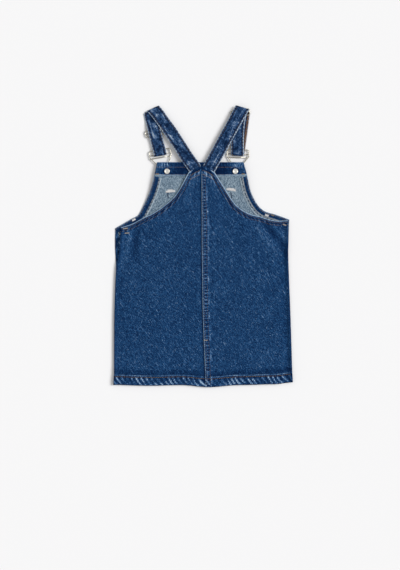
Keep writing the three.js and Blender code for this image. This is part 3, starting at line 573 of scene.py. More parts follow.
def back_half(name, rows, side):
    """One half of the back: its grid, its heights and what its finish needs."""
    width = widths_of(rows)
    shares = shares_between(width, 1.6, 2.5, 16, 16)
    x, y = panel_places(rows, shares)
    from_side = (shares if side == "l" else 1 - shares) * width[:, None]
    from_seam = (1 - shares if side == "l" else shares) * width[:, None]
    armhole_gap = edge_distance(x, y, armhole_left if side == "l" else armhole_right)
    neck_gap = edge_distance(x, y, NECK_EDGE)
    turned = np.minimum(armhole_gap, neck_gap)
    up = y - hem_line(x)

    # The underside: on the layers below it, with air, folds and slow unevenness.
    air = 1.5 * rise(0, 42, from_side) * fall(40, 110, y)
    air = air + SIDE_SEAM * fall(2, 9, from_side) * rise(0, 14, turned)
    lowest = front_under(x, y) + CLOTH + GAP + layers_between(x, y)
    large = air + fold_height(x, y, BACK_FOLDS) * rise(4, 26, from_side)
    small = fold_height(x, y, FINE_FOLDS) * rise(1, 6, turned)
    slow = 0.22 * unevenness(x, y, 46, 1) + 0.1 * unevenness(x, y, 17, 2)
    soft = slow * rise(3, 20, from_side) * rise(0, 26, up) * rise(4, 14, turned)
    under = lowest + np.maximum(0.05, large + 0.6 * small + soft)

    # The wall: thicker where it is turned or felled, and drawn up by the sewing.
    hem = fall(HEM_DEPTH - 1.2, HEM_DEPTH + 1.4, up)
    armhole_turn = 0.55 * fall(ARMHOLE_HEM - 0.8, ARMHOLE_HEM + 0.9, turned)
    felled = fell_width(y) if side == "r" else -9.0
    band = fall(felled - 0.4, felled + 1.4, from_seam)
    rope = roping(x, up)
    seam_pull = pucker(y, 6.4, 3) * hump(from_seam, felled + 1.5, 4.0)
    lean = 0.9 * x + 0.45 * y if side == "r" else 0.9 * x - 0.45 * y
    edge_pull = pucker(lean, 7.2, 4) * hump(turned, ARMHOLE_HEM - 1.5, 4.6) * rise(2.5, 4, turned)
    thick = CLOTH + np.maximum.reduce([0.8 * hem, armhole_turn, 1.0 * band])
    thick += 0.4 * rope * hem * rise(0, 3, up) + 0.2 * seam_pull + 0.2 * edge_pull
    thick -= 0.4 * hump(up, HEM_DEPTH + 4.5, 3.0)
    top = under + thick

    # In the hem: pale worn ridges and folds, painted shade along its folded bottom edge, a spared row and a
    # spared hollow above.
    drift = unevenness(x, y, 26, 9)
    in_hem = fall(HEM_DEPTH - 5, HEM_DEPTH - 3, up) * rise(0.6, 2.2, up)
    wear_and_shade = (2.7 * rise(0.5, 1.0, rope) - 0.8 * rise(-0.2, 0.5, -rope) + 0.2) * in_hem
    # Painted shade: the strip within about 1.6 mm of the hem's folded bottom edge is darkened.
    wear_and_shade += 0.9 * hump(up, 3.0, 1.3) * rise(-0.3, 0.7, drift) - 0.8 * fall(0.4, 1.6, up)
    wear_and_shade += 1.35 * hump(up, HEM_DEPTH - 0.9, 1.0) * np.clip(0.9 + 0.5 * drift, 0.6, 1.2)
    wear_and_shade -= 1.2 * hump(up, HEM_DEPTH + 5, 3.8) * (0.85 + 0.3 * drift)
    wear_and_shade -= 1.5 * hump(up, HEM_ROW, 1.5)
    # The wear along the armholes, on the puckers and on the folds.
    wear_and_shade -= 0.45 * fall(ARMHOLE_HEM - 1, ARMHOLE_HEM + 1, turned) * rise(2.0, 3.0, turned)
    wear_and_shade += 0.95 * rise(0.25, 0.9, edge_pull) - 0.6 * rise(0.2, 0.8, -edge_pull)
    wear_and_shade += 0.30 * rise(0.2, 0.9, seam_pull)
    wear_and_shade += 0.6 * small + 0.5 * fold_height(x, y, BACK_FOLDS[:6])
    wear_and_shade += 0.7 * fall(5.2, 6.6, armhole_gap) * rise(118, 150, y)
    # The wear at the neck, where a grey band shows between the two rows.
    at_neck = fall(19, 27, np.abs(x - NECK_MIDDLE))
    below_neck = rise(14, 17, neck_gap)
    neck_band = rise(7.5, 9, neck_gap) * fall(15.5, 17, neck_gap) * at_neck
    wear_and_shade += neck_band * (0.55 + 0.5 * pucker(x, 6.4, 18)) - 0.5 * fall(6, 8, neck_gap) * at_neck
    wear_and_shade += 0.6 * rise(0.2, 0.9, pucker(x, 7.4, 19)) * rise(17, 19, neck_gap) * fall(24, 32, neck_gap)
    worn = turned + 0.8 + 3 * fall(9, 21, np.abs(x - NECK_MIDDLE)) * fall(5, 11, neck_gap)
    if side == "r":
        in_band = fall(-0.6, 0.8, from_seam - felled) * rise(2.4, 3.4, from_seam) * below_neck
        wear_and_shade += (1.5 * rise(0, 0.9, pucker(y, 6.8, 17)) - 0.6) * in_band
        wear_and_shade -= 0.6 * hump(from_seam, 0.95 * felled, 1.3) * below_neck
        wear_and_shade += 1.0 * hump(from_seam, felled + 2.4, 1.5) * rise(-0.4, 0.6, drift)
        worn = np.minimum(worn, from_seam + 1.1 + 2 * (1 - below_neck) + 0.5 * pucker(y, 5.4, 10))
    else:
        # Painted shadow: a dark line on the left half beside the seam, where the felled band casts its
        # shadow.
        wear_and_shade -= 1.4 * hump(from_seam, 0, 2.4) * below_neck
    wear_and_shade -= 0.25 * hump(from_side, 0, 9)
    return cloth_shell(name, x, y, top, under, (washed_denim, inside_denim), {"wear_and_shade": wear_and_shade, "edge_mm": worn})


back_left = back_half("cloth_back_left", left_rows, "l")
back_right = back_half("cloth_back_right", right_rows, "r")
print("back halves:", len(back_left.data.polygons), len(back_right.data.polygons), "faces")

# %% [markdown]
# The front, and the plies that are turned in along its edges
#
# The front lies underneath with its wrong side up, so the pale inside of the bib shows in the armholes.
# The bib's top edge is turned down as a wide hem and its armholes are turned in with an overlocked raw
# edge. Those plies show the right side again. The front is one grid, and each ply is a grid of its own.

# %% Front panel
def front_panel():
    """The front, wrong side up, but for the slot at the left side where its right side shows."""
    width = widths_of(front_rows)
    shares = shares_between(width, 1.9, 3.0, 15, 15)
    x, y = panel_places(front_rows, shares)
    up = y - hem_line(x)
    from_side = np.minimum(shares, 1 - shares) * width[:, None]
    under = front_under(x, y)
    top = front_top(x, y) + 0.1 * unevenness(x, y, 21, 7) * rise(10, 30, from_side) * rise(70, 100, y)
    rope = roping(x, up)
    top = top + 0.15 * rope * fall(HEM_DEPTH - 1, HEM_DEPTH + 1, up)
    side_slot = fall(-168, -165, x) * rise(-62, -50, y) * fall(43, 47, y)
    wear_and_shade = -0.3 * hump(from_side, 0, 4) + side_slot * (0.2 + unevenness(x, y, 12, 8))
    wear_and_shade = wear_and_shade + 1.0 * rise(0.3, 0.9, rope) * fall(HEM_DEPTH - 2, HEM_DEPTH, up)
    obj = cloth_shell("cloth_front", x, y, top, under, (inside_denim, washed_denim),
                      {"wear_and_shade": wear_and_shade, "edge_mm": from_side + 3})
    slots = np.zeros(len(obj.data.polygons), int)
    obj.data.polygons.foreach_get("material_index", slots)
    grid = (x.shape[0] - 1) * (x.shape[1] - 1)
    slots[2 * grid:] = 1
    slots[:grid][(side_slot[:-1, :-1] > 0.5).ravel()] = 1
    obj.data.polygons.foreach_set("material_index", slots.astype(np.int32))
    return obj


front = front_panel()
print("front:", len(front.data.polygons), "faces")


# %% Plies on the front
def ply(name, outer, inner, across, values):
    """A flat ply on the front, from its outer edge inwards, given as two lists of places."""
    shares = np.linspace(0, 1, across + 1)[None, :, None]
    outer, inner = np.asarray(outer), np.asarray(inner)
    place = mix(outer[:, None], inner[:, None], shares)
    x, y = place[..., 0], place[..., 1]
    under = front_top(x, y) + GAP
    depth = np.linalg.norm(inner - outer, axis=1)[:, None] * shares[..., 0]
    laid = values(x, y, depth, reach_of(outer)[:, None] + 0 * x)
    top = under + PLY + laid.pop("raise")
    return cloth_shell(name, x, y, top, under, (washed_denim, inside_denim), laid, rim=0.3)


BUTTONS = {"left": (-75.8, 156.7), "right": (67.6, 156.7)}


def bib_hem_values(x, y, depth, along):
    """The bib's hem: puckered above its first row, with painted shadow in its middle where the straps lie
    over it and round the tacks, and worn towards its ends.
    """
    ridge = pucker(x, 6.0, 12)
    stitched = hump(depth, 10.3, 1.4) + hump(depth, 25.4, 1.2)
    # Painted shadow: the middle of the band, where the straps lie over it, is darker.
    wear_and_shade = -0.3 - 0.9 * rise(22, 72, 100 - np.abs(x + 4))
    # Painted shadow: a dark ring round each tack back.
    for tack_x, tack_y in BUTTONS.values():
        wear_and_shade -= 1.0 * fall(6.2, 8.6, np.hypot(x - tack_x, y - tack_y))
    wear_and_shade += 1.0 * rise(0.3, 0.9, ridge) * fall(5, 11, depth)
    wear_and_shade += 0.8 * rise(0.4, 1.0, unevenness(x, y, 16, 13))
    wear_and_shade += 1.3 * rise(0.1, 0.8, pucker(x, 5.4, 16)) * fall(11, 17, depth) * rise(52, 80, np.abs(x + 4))
    wear_and_shade += 0.7 * rise(0.2, 0.9, pucker(x, 7.7, 20)) * rise(14, 18, depth) * rise(76, 90, np.abs(x + 4))
    return {"raise": 0.14 * ridge * rise(0, 4, depth) - 0.25 * stitched, "wear_and_shade": wear_and_shade,
            "edge_mm": np.minimum(depth + 1.7, 27.6 - depth)}


def across_bib(depth, count=110):
    """Places across the bib at a depth below its top edge, half a millimetre in from its sides."""
    top, below = FRONT[12], FRONT[11]
    row = mix(top, below, depth / (top[1] - below[1]))
    return [(mix(row[0] + 0.5, row[2] - 0.5, t), BIB_TOP - depth) for t in np.linspace(0, 1, count)]


bib_hem = ply("cloth_bib_top_hem", across_bib(0.5), across_bib(BIB_HEM), 16, bib_hem_values)


TURNED = {"l": 10.0, "r": 7.6}  # how much of an armhole's ply shows before its overlocked raw edge


def armhole_ply(side):
    """The turned ply of a front armhole: right side out at first, then the overlocked raw edge."""
    inward = 1 if side == "l" else -1
    top = BIB_TOP - BIB_HEM - GAP
    corner = FRONT[6, 0:2] if side == "l" else FRONT[6, 2:4]
    edge = edge_above(rows_of(FRONT, FRONT_CORNERS, 1.8), side, corner)
    edge = edge[edge[:, 1] < top - 0.6]
    ahead = np.gradient(edge, axis=0)
    length = np.hypot(ahead[:, 0], ahead[:, 1])
    normal = np.column_stack([inward * np.abs(ahead[:, 1]), -np.abs(ahead[:, 0])]) / length[:, None]
    inner = edge + normal * ARMHOLE_PLY
    inner[:, 1] = np.minimum(inner[:, 1], top)
    outer = edge + normal * 0.4

    def values(x, y, depth, along):
        ridge = pucker(along, 5.2, 14)
        raw = depth > TURNED[side]
        wear_and_shade = np.where(raw, -0.1, -0.45) + 0.7 * rise(0.3, 0.9, ridge) * fall(3, 6, depth)
        wear_and_shade = wear_and_shade + 1.3 * rise(13.6, 14.6, depth) * raw
        lift = 0.12 * ridge - 0.2 * hump(depth, 7.6, 1.0) - 0.35 * rise(7.8, 9.0, depth)
        return {"raise": lift, "wear_and_shade": wear_and_shade, "edge_mm": depth + 1.3}

    # The right one is laid from its other end, so that it faces up too. Its raw edge shows the wrong side.
    across = 15
    name = "cloth_armhole_ply_" + ("left" if side == "l" else "right")
    obj = ply(name, outer[::inward], inner[::inward], across, values)
    for face in obj.data.polygons[:(len(outer) - 1) * across]:
        face.material_index = int(face.index % across >= TURNED[side] / ARMHOLE_PLY * across)
    return obj, edge, normal


left_armhole = armhole_ply("l")
right_armhole = armhole_ply("r")
ply_left, ply_right = left_armhole[0], right_armhole[0]
print("plies:", bib_hem.name, ply_left.name, ply_right.name)

# %% [markdown]
# The straps
#
# Each strap is a tube of denim pressed flat and edge-stitched. It comes from under the back's neck, folds
# over at the shoulder, runs down to the buckle's bar, turns round it and lies under itself. A curve with a
# flat bevel would twist at the folds, so the band is laid through pairs of edge points, as in the CAD.

# %% Strap sections: both edges and the underside's height
STRAP_LEFT = {
    "back": [(-24, 149, -3.9, 162, 7.65), (-30.5, 157.7, -7.4, 173, 7.7), (-44.9, 178.1, -22.2, 193.6, 8.35),
             (-64.5, 209.5, -42.2, 224.6, 7.9), (-82.3, 235.8, -59.6, 251, 7.4),
             (-95.5, 254.5, -73.4, 269.5, 6.2), (-107, 270.5, -84, 285, 4.2),
             (-117.5, 282.5, -92.2, 294.6, 2.6)],
    "front": [(-125, 277.5, -97.5, 289.5, 0.3), (-121.7, 262, -95.6, 269, 0.6),
              (-118.9, 251.5, -92.6, 257.5, 3.4), (-116.4, 242, -90.2, 248, 4.9),
              (-113.4, 230.5, -87.2, 236.5, 4.9), (-109.6, 215.5, -83.4, 221, 4.0),
              (-105.2, 199, -79, 204, 4.9), (-103, 190.4, -76.8, 195, 4.9)],
    "under": [(-103, 190.4, -76.8, 195, 0.2), (-107, 207, -80.8, 212, 0.2),
              (-113, 229.5, -86.8, 235, 0.2), (-117.6, 246.5, -91.4, 252.5, 0.2)],
    "shoulder": (-0.42, 0.93)}

STRAP_RIGHT = {
    "back": [(19.4, 147.5, -2.1, 161.5, 7.65), (25.6, 157.7, 1.3, 171, 7.7), (38, 180, 14, 194, 8.4),
             (56, 212.6, 31.8, 227.2, 8.0), (76, 248.7, 51.5, 263, 7.5), (88, 270.3, 62.6, 284, 7.2),
             (96.4, 285.6, 68.9, 294.2, 7.0)],
    "front": [(94, 286, 66.4, 292.6, 4.9), (90.4, 273, 63.4, 276.5, 4.9), (87.2, 255, 60.4, 257, 3.8),
              (85.6, 228, 58.8, 229, 3.4), (85.6, 205, 58.8, 205.5, 4.9), (85.7, 192.4, 58.8, 193.4, 4.9)],
    "under": [(86.7, 192.4, 59.8, 193.4, 0.2), (90.4, 217, 63.6, 220.5, 0.2), (95, 252, 68.2, 255.5, 0.2),
              (98.9, 281.6, 72.1, 285.1, 0.2)],
    "shoulder": (0.27, 0.93)}


def strap_part(table, step):
    """Edge points a and b of one layer, at about every step, at the middle of the strap's wall."""
    table = np.array(table, float)
    rows = []
    for i in range(len(table) - 1):
        here, after = table[i], table[i + 1]
        before = table[i - 1] if i else 2 * here - after
        beyond = table[i + 2] if i + 2 < len(table) else 2 * after - here
        count = max(1, round(math.dist(here[:2], after[:2]) / step))
        rows += [through(before, here, after, beyond, k / count) for k in range(count)]
    rows = np.array(rows + [table[-1]])
    z = rows[:, 4] + STRAP / 2
    return np.stack([np.column_stack([rows[:, 0:2], z]), np.column_stack([rows[:, 2:4], z])], axis=1)


def strap_turn(last, first, outward, count):
    """Edge points on a half circle from the end of one layer to the start of the next."""
    angle = math.pi * np.arange(1, count) / count
    turn = []
    for a in angle:
        point = mix(last, first, (1 - math.cos(a)) / 2)
        half = np.abs(last[:, 2] - first[:, 2])[:, None] / 2
        turn.append(point + np.asarray(outward)[None] * half * math.sin(a))
    return np.array(turn)


def strap_line(table):
    """All edge points of a strap from the neck to its free end, and which layer each belongs to."""
    back = strap_part(table["back"], 2.0)
    front_leg = strap_part(table["front"], 2.0)
    under = strap_part(table["under"], 2.0)
    shoulder = np.append(np.array(table["shoulder"]) / np.linalg.norm(table["shoulder"]), 0)
    turn_over = strap_turn(back[-1], front_leg[0], shoulder, 8)
    turn_bar = strap_turn(front_leg[-1], under[0], (0, -1, 0), 12)
    parts = [back, turn_over, front_leg, turn_bar, under]
    layer = np.repeat(np.arange(len(parts)), [len(part) for part in parts])
    return np.concatenate(parts), layer


def strap_frame(line):
    """At each section: its middle, the way across, and the way up off its face."""
    middle = line.mean(axis=1)
    across = line[:, 1] - line[:, 0]
    width = np.linalg.norm(across, axis=1, keepdims=True)
    across = across / width
    ahead = np.gradient(middle, axis=0)
    ahead /= np.linalg.norm(ahead, axis=1, keepdims=True)
    up = np.cross(ahead, across)
    up /= np.linalg.norm(up, axis=1, keepdims=True)
    return middle, across, up, width[:, 0]


print("strap layers: back leg, front leg and the free end under it")


# %% Strap meshes
SHARES = np.concatenate([[-0.5, -0.485, -0.455], np.linspace(-0.42, 0.42, 15), [0.455, 0.485, 0.5]])


def round_the_strap(values):
    """Values across a strap's upper side, followed by those of its lower side on the way back."""
    return np.concatenate([values, values[::-1][1:-1]])


def strap_wear_and_shade(along, layer, seed):
    """How worn each point of a strap is, with painted shade on its turn round the bar and its free end under
    the strap, and how far it lies from a worn edge.
    """
    sideways = round_the_strap(SHARES)[None] * STRAP_WIDTH
    edges = round_the_strap((0.5 - np.abs(SHARES)) * STRAP_WIDTH)
    scallop = pucker(along, 6.6, seed + 4)[:, None]
    worn_edge = edges[None] + np.where(round_the_strap(SHARES < 0), 0.2, 0.8)[None] + 0.8 * scallop
    cross = unevenness(along[:, None] * 0.7, sideways * 0.9, 15, seed + 1)
    cross = cross + 0.7 * unevenness(along[:, None], sideways, 7, seed + 2)
    wear_and_shade = 0.95 * rise(0.15, 1.2, cross) - 0.75 * rise(0.1, 1.2, -cross)
    wear_and_shade = wear_and_shade * rise(3, 6, edges) - 0.9 * hump(edges, 3.9, 1.1)
    wear_and_shade += 0.8 * hump(edges, 6.4, 1.0)[None] * rise(-0.4, 1, pucker(along, 6.0, seed))[:, None]
    wear_and_shade -= 0.7 * hump(edges, 3.2, 1.3)[None] * rise(0, 0.9, scallop)
    crease = sideways + 4.2 + 1.6 * unevenness(along, 0 * along, 60, seed + 5)[:, None]
    broken = rise(-0.5, 0.4, unevenness(along, 0 * along, 38, seed + 6))[:, None]
    wear_and_shade += 1.1 * hump(crease, 0, 1.1) * broken
    # Painted shade: the turn round the buckle's bar and the free end under the strap are darker.
    wear_and_shade -= 0.5 * np.isin(layer, (3, 4))[:, None]
    return {"wear_and_shade": wear_and_shade.ravel(), "edge_mm": worn_edge.ravel()}


def strap(name, table, seed):
    """A strap as one closed band, and what its stitches need: its layers, its frame and its reach."""
    line, layer = strap_line(table)
    middle, across, up, width = strap_frame(line)
    along = reach_of(middle)
    from_edge = (0.5 - np.abs(SHARES)) * STRAP_WIDTH
    wall = STRAP / 2 * np.clip((from_edge / 0.6) ** 0.5, 0, 1)
    ripple = 0.09 * pucker(along, 6.0, seed)[:, None] * hump(from_edge, 2.2, 2.2)[None]
    puff = 0.1 * rise(3, 8, from_edge)[None]
    puff = puff + 0.06 * unevenness(along[:, None], SHARES[None] * STRAP_WIDTH, 19, seed)
    height = wall[None] + (ripple + puff - 0.18 * hump(from_edge, 2.2, 0.9)[None]) * (from_edge > 1)
    point = middle[:, None] + across[:, None] * (SHARES[None, :, None] * width[:, None, None])
    upper, lower = (point + up[:, None] * face * height[..., None] for face in (1, -1))
    rings = np.concatenate([upper, lower[:, ::-1][:, 1:-1]], axis=1)
    count, around = rings.shape[:2]
    index = np.arange(count * around).reshape(count, around)
    after = np.roll(index, -1, axis=1)
    faces = np.stack([index[:-1], index[1:], after[1:], after[:-1]], -1).reshape(-1, 4).tolist()
    faces += [index[0].tolist(), index[-1, ::-1].tolist()]
    obj = new_mesh(name, rings.reshape(-1, 3), faces, [strap_denim], None, strap_wear_and_shade(along, layer, seed))
    return obj, {"layer": layer, "middle": middle, "across": across, "up": up, "along": along}


strap_left, line_left = strap("cloth_strap_left", STRAP_LEFT, 21)
strap_right, line_right = strap("cloth_strap_right", STRAP_RIGHT, 31)
print("straps:", round(line_left["along"][-1]), "and", round(line_right["along"][-1]), "mm along")

# %% [markdown]
# The bib pocket
#
# The patch pocket is on the right side of the bib, so it lies face down on the table and only its edge
# shows from the side. It is one ply with a hem along its opening. A grid would waste points on a flat
# piece, so a plane is cut to the outline with bisect, given its wall, and its edges are bevelled.

# %% Pocket
def deselect():
    """Back to object mode with nothing selected, so that the next tool works on its own piece only."""
    if bpy.context.mode != "OBJECT":
        bpy.ops.object.mode_set(mode="OBJECT")
    bpy.ops.object.select_all(action="DESELECT")


def finished(name, slot_material):
    """Names the active object, sets its place into its mesh and gives it a finish."""
    obj = bpy.context.active_object
    obj.name = name
    obj.data.name = name
    bpy.ops.object.transform_apply(location=True, rotation=True, scale=True)
    obj.data.materials.clear()
    obj.data.materials.append(slot_material)
    return obj


def use_modifier(obj, kind, **settings):
    """Adds a modifier with its settings and applies it."""
    bpy.context.view_layer.objects.active = obj
    modifier = obj.modifiers.new(kind.lower(), kind)
    for key, value in settings.items():
        setattr(modifier, key, value)
    bpy.ops.object.modifier_apply(modifier=modifier.name)


def pocket():
    """The bib's patch pocket: a plane cut along two tapered sides and two corners, then made thick."""
    left, right, top, bottom, corner, taper, wall = POCKET.values()
    deselect()
    bpy.ops.mesh.primitive_plane_add(size=1, location=((left + right) / 2 * MM, (top + bottom) / 2 * MM, 0))
    bpy.ops.transform.resize(value=((right - left) * MM, (top - bottom) * MM, 1))
    bpy.ops.object.transform_apply(location=True, rotation=True, scale=True)
    bpy.ops.object.mode_set(mode="EDIT")
    cuts = [((left, top), (left + taper, bottom + corner), -1),
            ((right, top), (right - taper, bottom + corner), 1),
            ((left + taper, bottom + corner), (left + taper + corner, bottom), -1),
            ((right - taper, bottom + corner), (right - taper - corner, bottom), 1)]
    for (x1, y1), (x2, y2), way in cuts:
        bpy.ops.mesh.select_all(action="SELECT")
        normal = Vector((-(y2 - y1) * way, (x2 - x1) * way, 0)).normalized()
        bpy.ops.mesh.bisect(plane_co=(x1 * MM, y1 * MM, 0), plane_no=normal, clear_outer=normal.x * way > 0,
                            clear_inner=normal.x * way < 0)
    bpy.ops.mesh.select_all(action="SELECT")
    bpy.ops.mesh.subdivide(number_cuts=5)
    bpy.ops.mesh.extrude_region_move(TRANSFORM_OT_translate={"value": (0, 0, wall * MM)})
    bpy.ops.mesh.select_all(action="SELECT")
    bpy.ops.mesh.normals_make_consistent(inside=False)
    bpy.ops.object.mode_set(mode="OBJECT")
    obj = finished("cloth_bib_pocket", washed_denim)
    use_modifier(obj, "BEVEL", width=0.35 * MM, segments=2, limit_method="ANGLE",
                 angle_limit=math.radians(50))
    return obj


bib_pocket = pocket()
low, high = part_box("bib_pocket")
print("pocket:", [round(v / MM, 1) for v in (high - low)], "mm in the CAD")

# %% [markdown]
# Wire buckles and sliders
#
# Both are bent from one round wire of 2.2 mm. By hand one draws the middle line of the wire, turns it
# into a curve, gives the curve a round bevel and makes it a mesh again. The bars across are wires of
# their own, let into the frame and joined to it, where the real ones are welded or wound round.

# %% Wire shapes
WIRE = 1.1
BAR_HEIGHT = 3.4  # middle of the wires, over the table
SLIDER_HALF = (20, 6.5)
BUCKLE_HALF = 22.5
BUCKLE_DEPTH = 17
LOOP_RADIUS = 4.2
NECK = [(16, 11.5), (13.2, 8.6), (10.5, 6.2), (8.2, 4.7), (6, 3.4)]  # from the button, and out
SLIDERS = {"left": (-101.4, 238.8, 13), "right": (78.0, 279.5, 8)}
BUCKLES = {"left": (-88.8, 185.4, 10), "right": (73.2, 185.5, -2)}


def rounded_path(corners, radius, steps=6):
    """Points along a closed polygon whose corners are rounded off."""
    points = []
    for i, corner in enumerate(corners):
        into = corners[i - 1] - corner
        out = corners[(i + 1) % len(corners)] - corner
        cut = min(radius, into.length * 0.45, out.length * 0.45)
        start, end = corner + into.normalized() * cut, corner + out.normalized() * cut
        for k in range(steps + 1):
            t = k / steps
            points.append(start * (1 - t) ** 2 + corner * 2 * t * (1 - t) + end * t * t)
    return points


def wire(points, radius, closed):
    """A round wire along points in mm: a line extruded point by point, bevelled as a curve, then a mesh."""
    deselect()
    bpy.ops.mesh.primitive_plane_add(size=0.001, location=(0, 0, 0))
    obj = bpy.context.active_object
    bpy.ops.object.mode_set(mode="EDIT")
    bpy.ops.mesh.merge(type="CENTER")
    bpy.ops.transform.translate(value=points[0] * MM)
    for here, after in zip(points[:-1], points[1:]):
        bpy.ops.mesh.extrude_region_move(TRANSFORM_OT_translate={"value": (after - here) * MM})
    if closed:
        bpy.ops.mesh.select_all(action="DESELECT")
        bpy.ops.object.mode_set(mode="OBJECT")
        obj.data.vertices[0].select = True
        obj.data.vertices[len(obj.data.vertices) - 1].select = True
        bpy.ops.object.mode_set(mode="EDIT")
        bpy.ops.mesh.edge_face_add()
    bpy.ops.object.mode_set(mode="OBJECT")
    bpy.ops.object.convert(target="CURVE")
    curve = bpy.context.active_object
    curve.data.bevel_depth = radius * MM
    curve.data.bevel_resolution = 3
    curve.data.use_fill_caps = not closed
    bpy.ops.object.convert(target="MESH")
    return bpy.context.active_object


def join_wires(name, wires, finish):
    """Several wires as one piece, smooth, with their normals out."""
    deselect()
    for obj in wires:
        obj.select_set(True)
    bpy.context.view_layer.objects.active = wires[0]
    bpy.ops.object.join()
    bpy.ops.object.mode_set(mode="EDIT")
    bpy.ops.mesh.select_all(action="SELECT")
    bpy.ops.mesh.remove_doubles(threshold=0.00001)
    bpy.ops.mesh.normals_make_consistent(inside=False)
    bpy.ops.object.mode_set(mode="OBJECT")
    bpy.ops.object.shade_smooth()
    return finished(name, finish)


def placed(x, y, turn, z):
    """A function that brings a place on a flat piece of hardware to its place on the dress."""
    matrix = Matrix.Translation((x, y, z)) @ Matrix.Rotation(math.radians(turn), 4, "Z")
    return lambda px, py: matrix @ Vector((px, py, 0))


print("wire radius:", WIRE, "mm")


# %% Sliders and buckles
def slider(side):
    """A flat ring of wire with one bar across its middle, for the strap's end."""
    x, y, turn = SLIDERS[side]
    at = placed(x, y, turn, BAR_HEIGHT)
    half, end = SLIDER_HALF
    ring = wire(rounded_path([at(-half, -end), at(half, -end), at(half, end), at(-half, end)], 4), WIRE, True)
    bar = wire([at(-half, 0), at(half, 0)], WIRE * 0.9, False)
    return join_wires("slider_wire_" + side, [ring, bar], nickel_wire)


def buckle(side):
    """One wire that narrows from the strap's bars to a loop round the button's shank, and the two bars."""
    x, y, turn = BUCKLES[side]
    at = placed(x, y, turn, BAR_HEIGHT)
    half, depth = BUCKLE_HALF, BUCKLE_DEPTH
    centre = Vector((*BUTTONS[side], 4.5))
    to_bar = Vector((x - centre.x, y - centre.y, 0)).normalized()
    sideways = Vector((to_bar.y, -to_bar.x, 0))

    def hole(along, across):
        return centre + to_bar * along + sideways * across

    loop = []
    for i in range(17):
        angle = mix(-0.3, math.pi + 0.3, i / 16)
        loop.append(hole(-LOOP_RADIUS * math.sin(angle), LOOP_RADIUS * math.cos(angle)))
    corners = [at(half, 0), at(half, depth), at(-half, depth), at(-half, 0)]
    top = rounded_path(corners, 5)[7:21]  # the two upper corners only
    path = [*top, at(-half, 3), *[hole(a, -c) for a, c in NECK], *reversed(loop),
            *[hole(a, c) for a, c in reversed(NECK)], at(half, 3)]
    bars = [wire([at(-half, up), at(half, up)], WIRE * 0.95, False) for up in (0.8, 7.4)]
    return join_wires("buckle_wire_" + side, [wire(path, WIRE, True), *bars], nickel_wire)


SIDES = ("left", "right")
sliders = {side: slider(side) for side in SIDES}
buckles = {side: buckle(side) for side in SIDES}
print("wires:", {o.name: len(o.data.polygons) for o in [*sliders.values(), *buckles.values()]})

# %% [markdown]
# Buttons and tack backs
#
# A jeans button is a pressed cap on a hollow post, and a tack is driven through the cloth from inside
# to hold it. The cap lies face down on the table and the tack's round back shows on the bib. Each is
# turned work: a circle or a short profile is extruded, inset and scaled in steps.

# %% Tack backs and button caps
def turned_piece(name, x, y, z, radius, steps, finish, sides=40):
    """A disc extruded and inset in steps of (rise, change of radius) in mm, all about its own middle."""
    deselect()
    bpy.ops.mesh.primitive_circle_add(vertices=sides, radius=radius * MM, fill_type="NGON",
                                      location=(x * MM, y * MM, z * MM))
    bpy.ops.object.mode_set(mode="EDIT")
    bpy.ops.mesh.select_all(action="SELECT")
    now = radius
    for up, change in steps:
        bpy.ops.mesh.extrude_region_move(TRANSFORM_OT_translate={"value": (0, 0, up * MM)})
        scale = (now + change) / now
        bpy.ops.transform.resize(value=(scale, scale, 1), center_override=(x * MM, y * MM, 0))
        now += change
    bpy.ops.mesh.select_all(action="SELECT")
    bpy.ops.mesh.normals_make_consistent(inside=False)
    bpy.ops.object.mode_set(mode="OBJECT")
    obj = finished(name, finish)
    bpy.ops.object.shade_smooth_by_angle(angle=math.radians(40))
    return obj


def tack(side):
    """The round back of a button's tack, on the bib's hem."""
    x, y = BUTTONS[side]
    floor = float(front_top(np.float64(x), np.float64(y))) + PLY + 2 * GAP
    steps = [(0.25, 0.25), (0.3, 0.1), (0.3, -0.05), (0.3, -0.25), (0.15, -0.35), (0.02, -0.5),
             (-0.1, -0.35), (-0.12, -0.35), (-0.03, -0.8), (0.0, -1.0), (-0.2, -0.15), (-0.3, -0.1),
             (0.0, -0.5), (0.0, -0.6)]
    return turned_piece("tack_back_" + side, x, y, floor, 5.35, steps, nickel_sheet)


def button(side):
    """The cap, face down on the table, with a dished face and a shank up to the bib."""
    x, y = BUTTONS[side]
    top = float(front_under(np.float64(x), np.float64(y))) - GAP
    steps = [(0.15, 0.9), (0.35, 0.7), (0.6, 0.5), (0.7, 0.1), (0.5, -0.15), (0.4, -0.45), (0.3, -0.8),
             (0.0, -0.6), (-0.25, -0.5), (0.0, -3.2), (0.25, -0.5), (0.0, -0.2)]
    steps += [(top - sum(up for up, _ in steps) - 0.3, 0), (0.3, -0.3)]
    return turned_piece("button_cap_" + side, x, y, 0.0, 6.8, steps, nickel_sheet)


tacks = {side: tack(side) for side in SIDES}
buttons = {side: button(side) for side in SIDES}
print("tacks at", [round(v / MM, 1) for v in tacks["left"].data.vertices[0].co])

# %% [markdown]
# One stitch, sewn a thousand times
#
# Topstitching on denim is a row of short thick threads that dip into the cloth at both ends. One stitch
# is modelled as a six-sided rod, pinched and bent down at its ends. Rows of it are laid along the seams:
# the cloth below each is found by a ray from above, so the thread lies on the puckered surface.

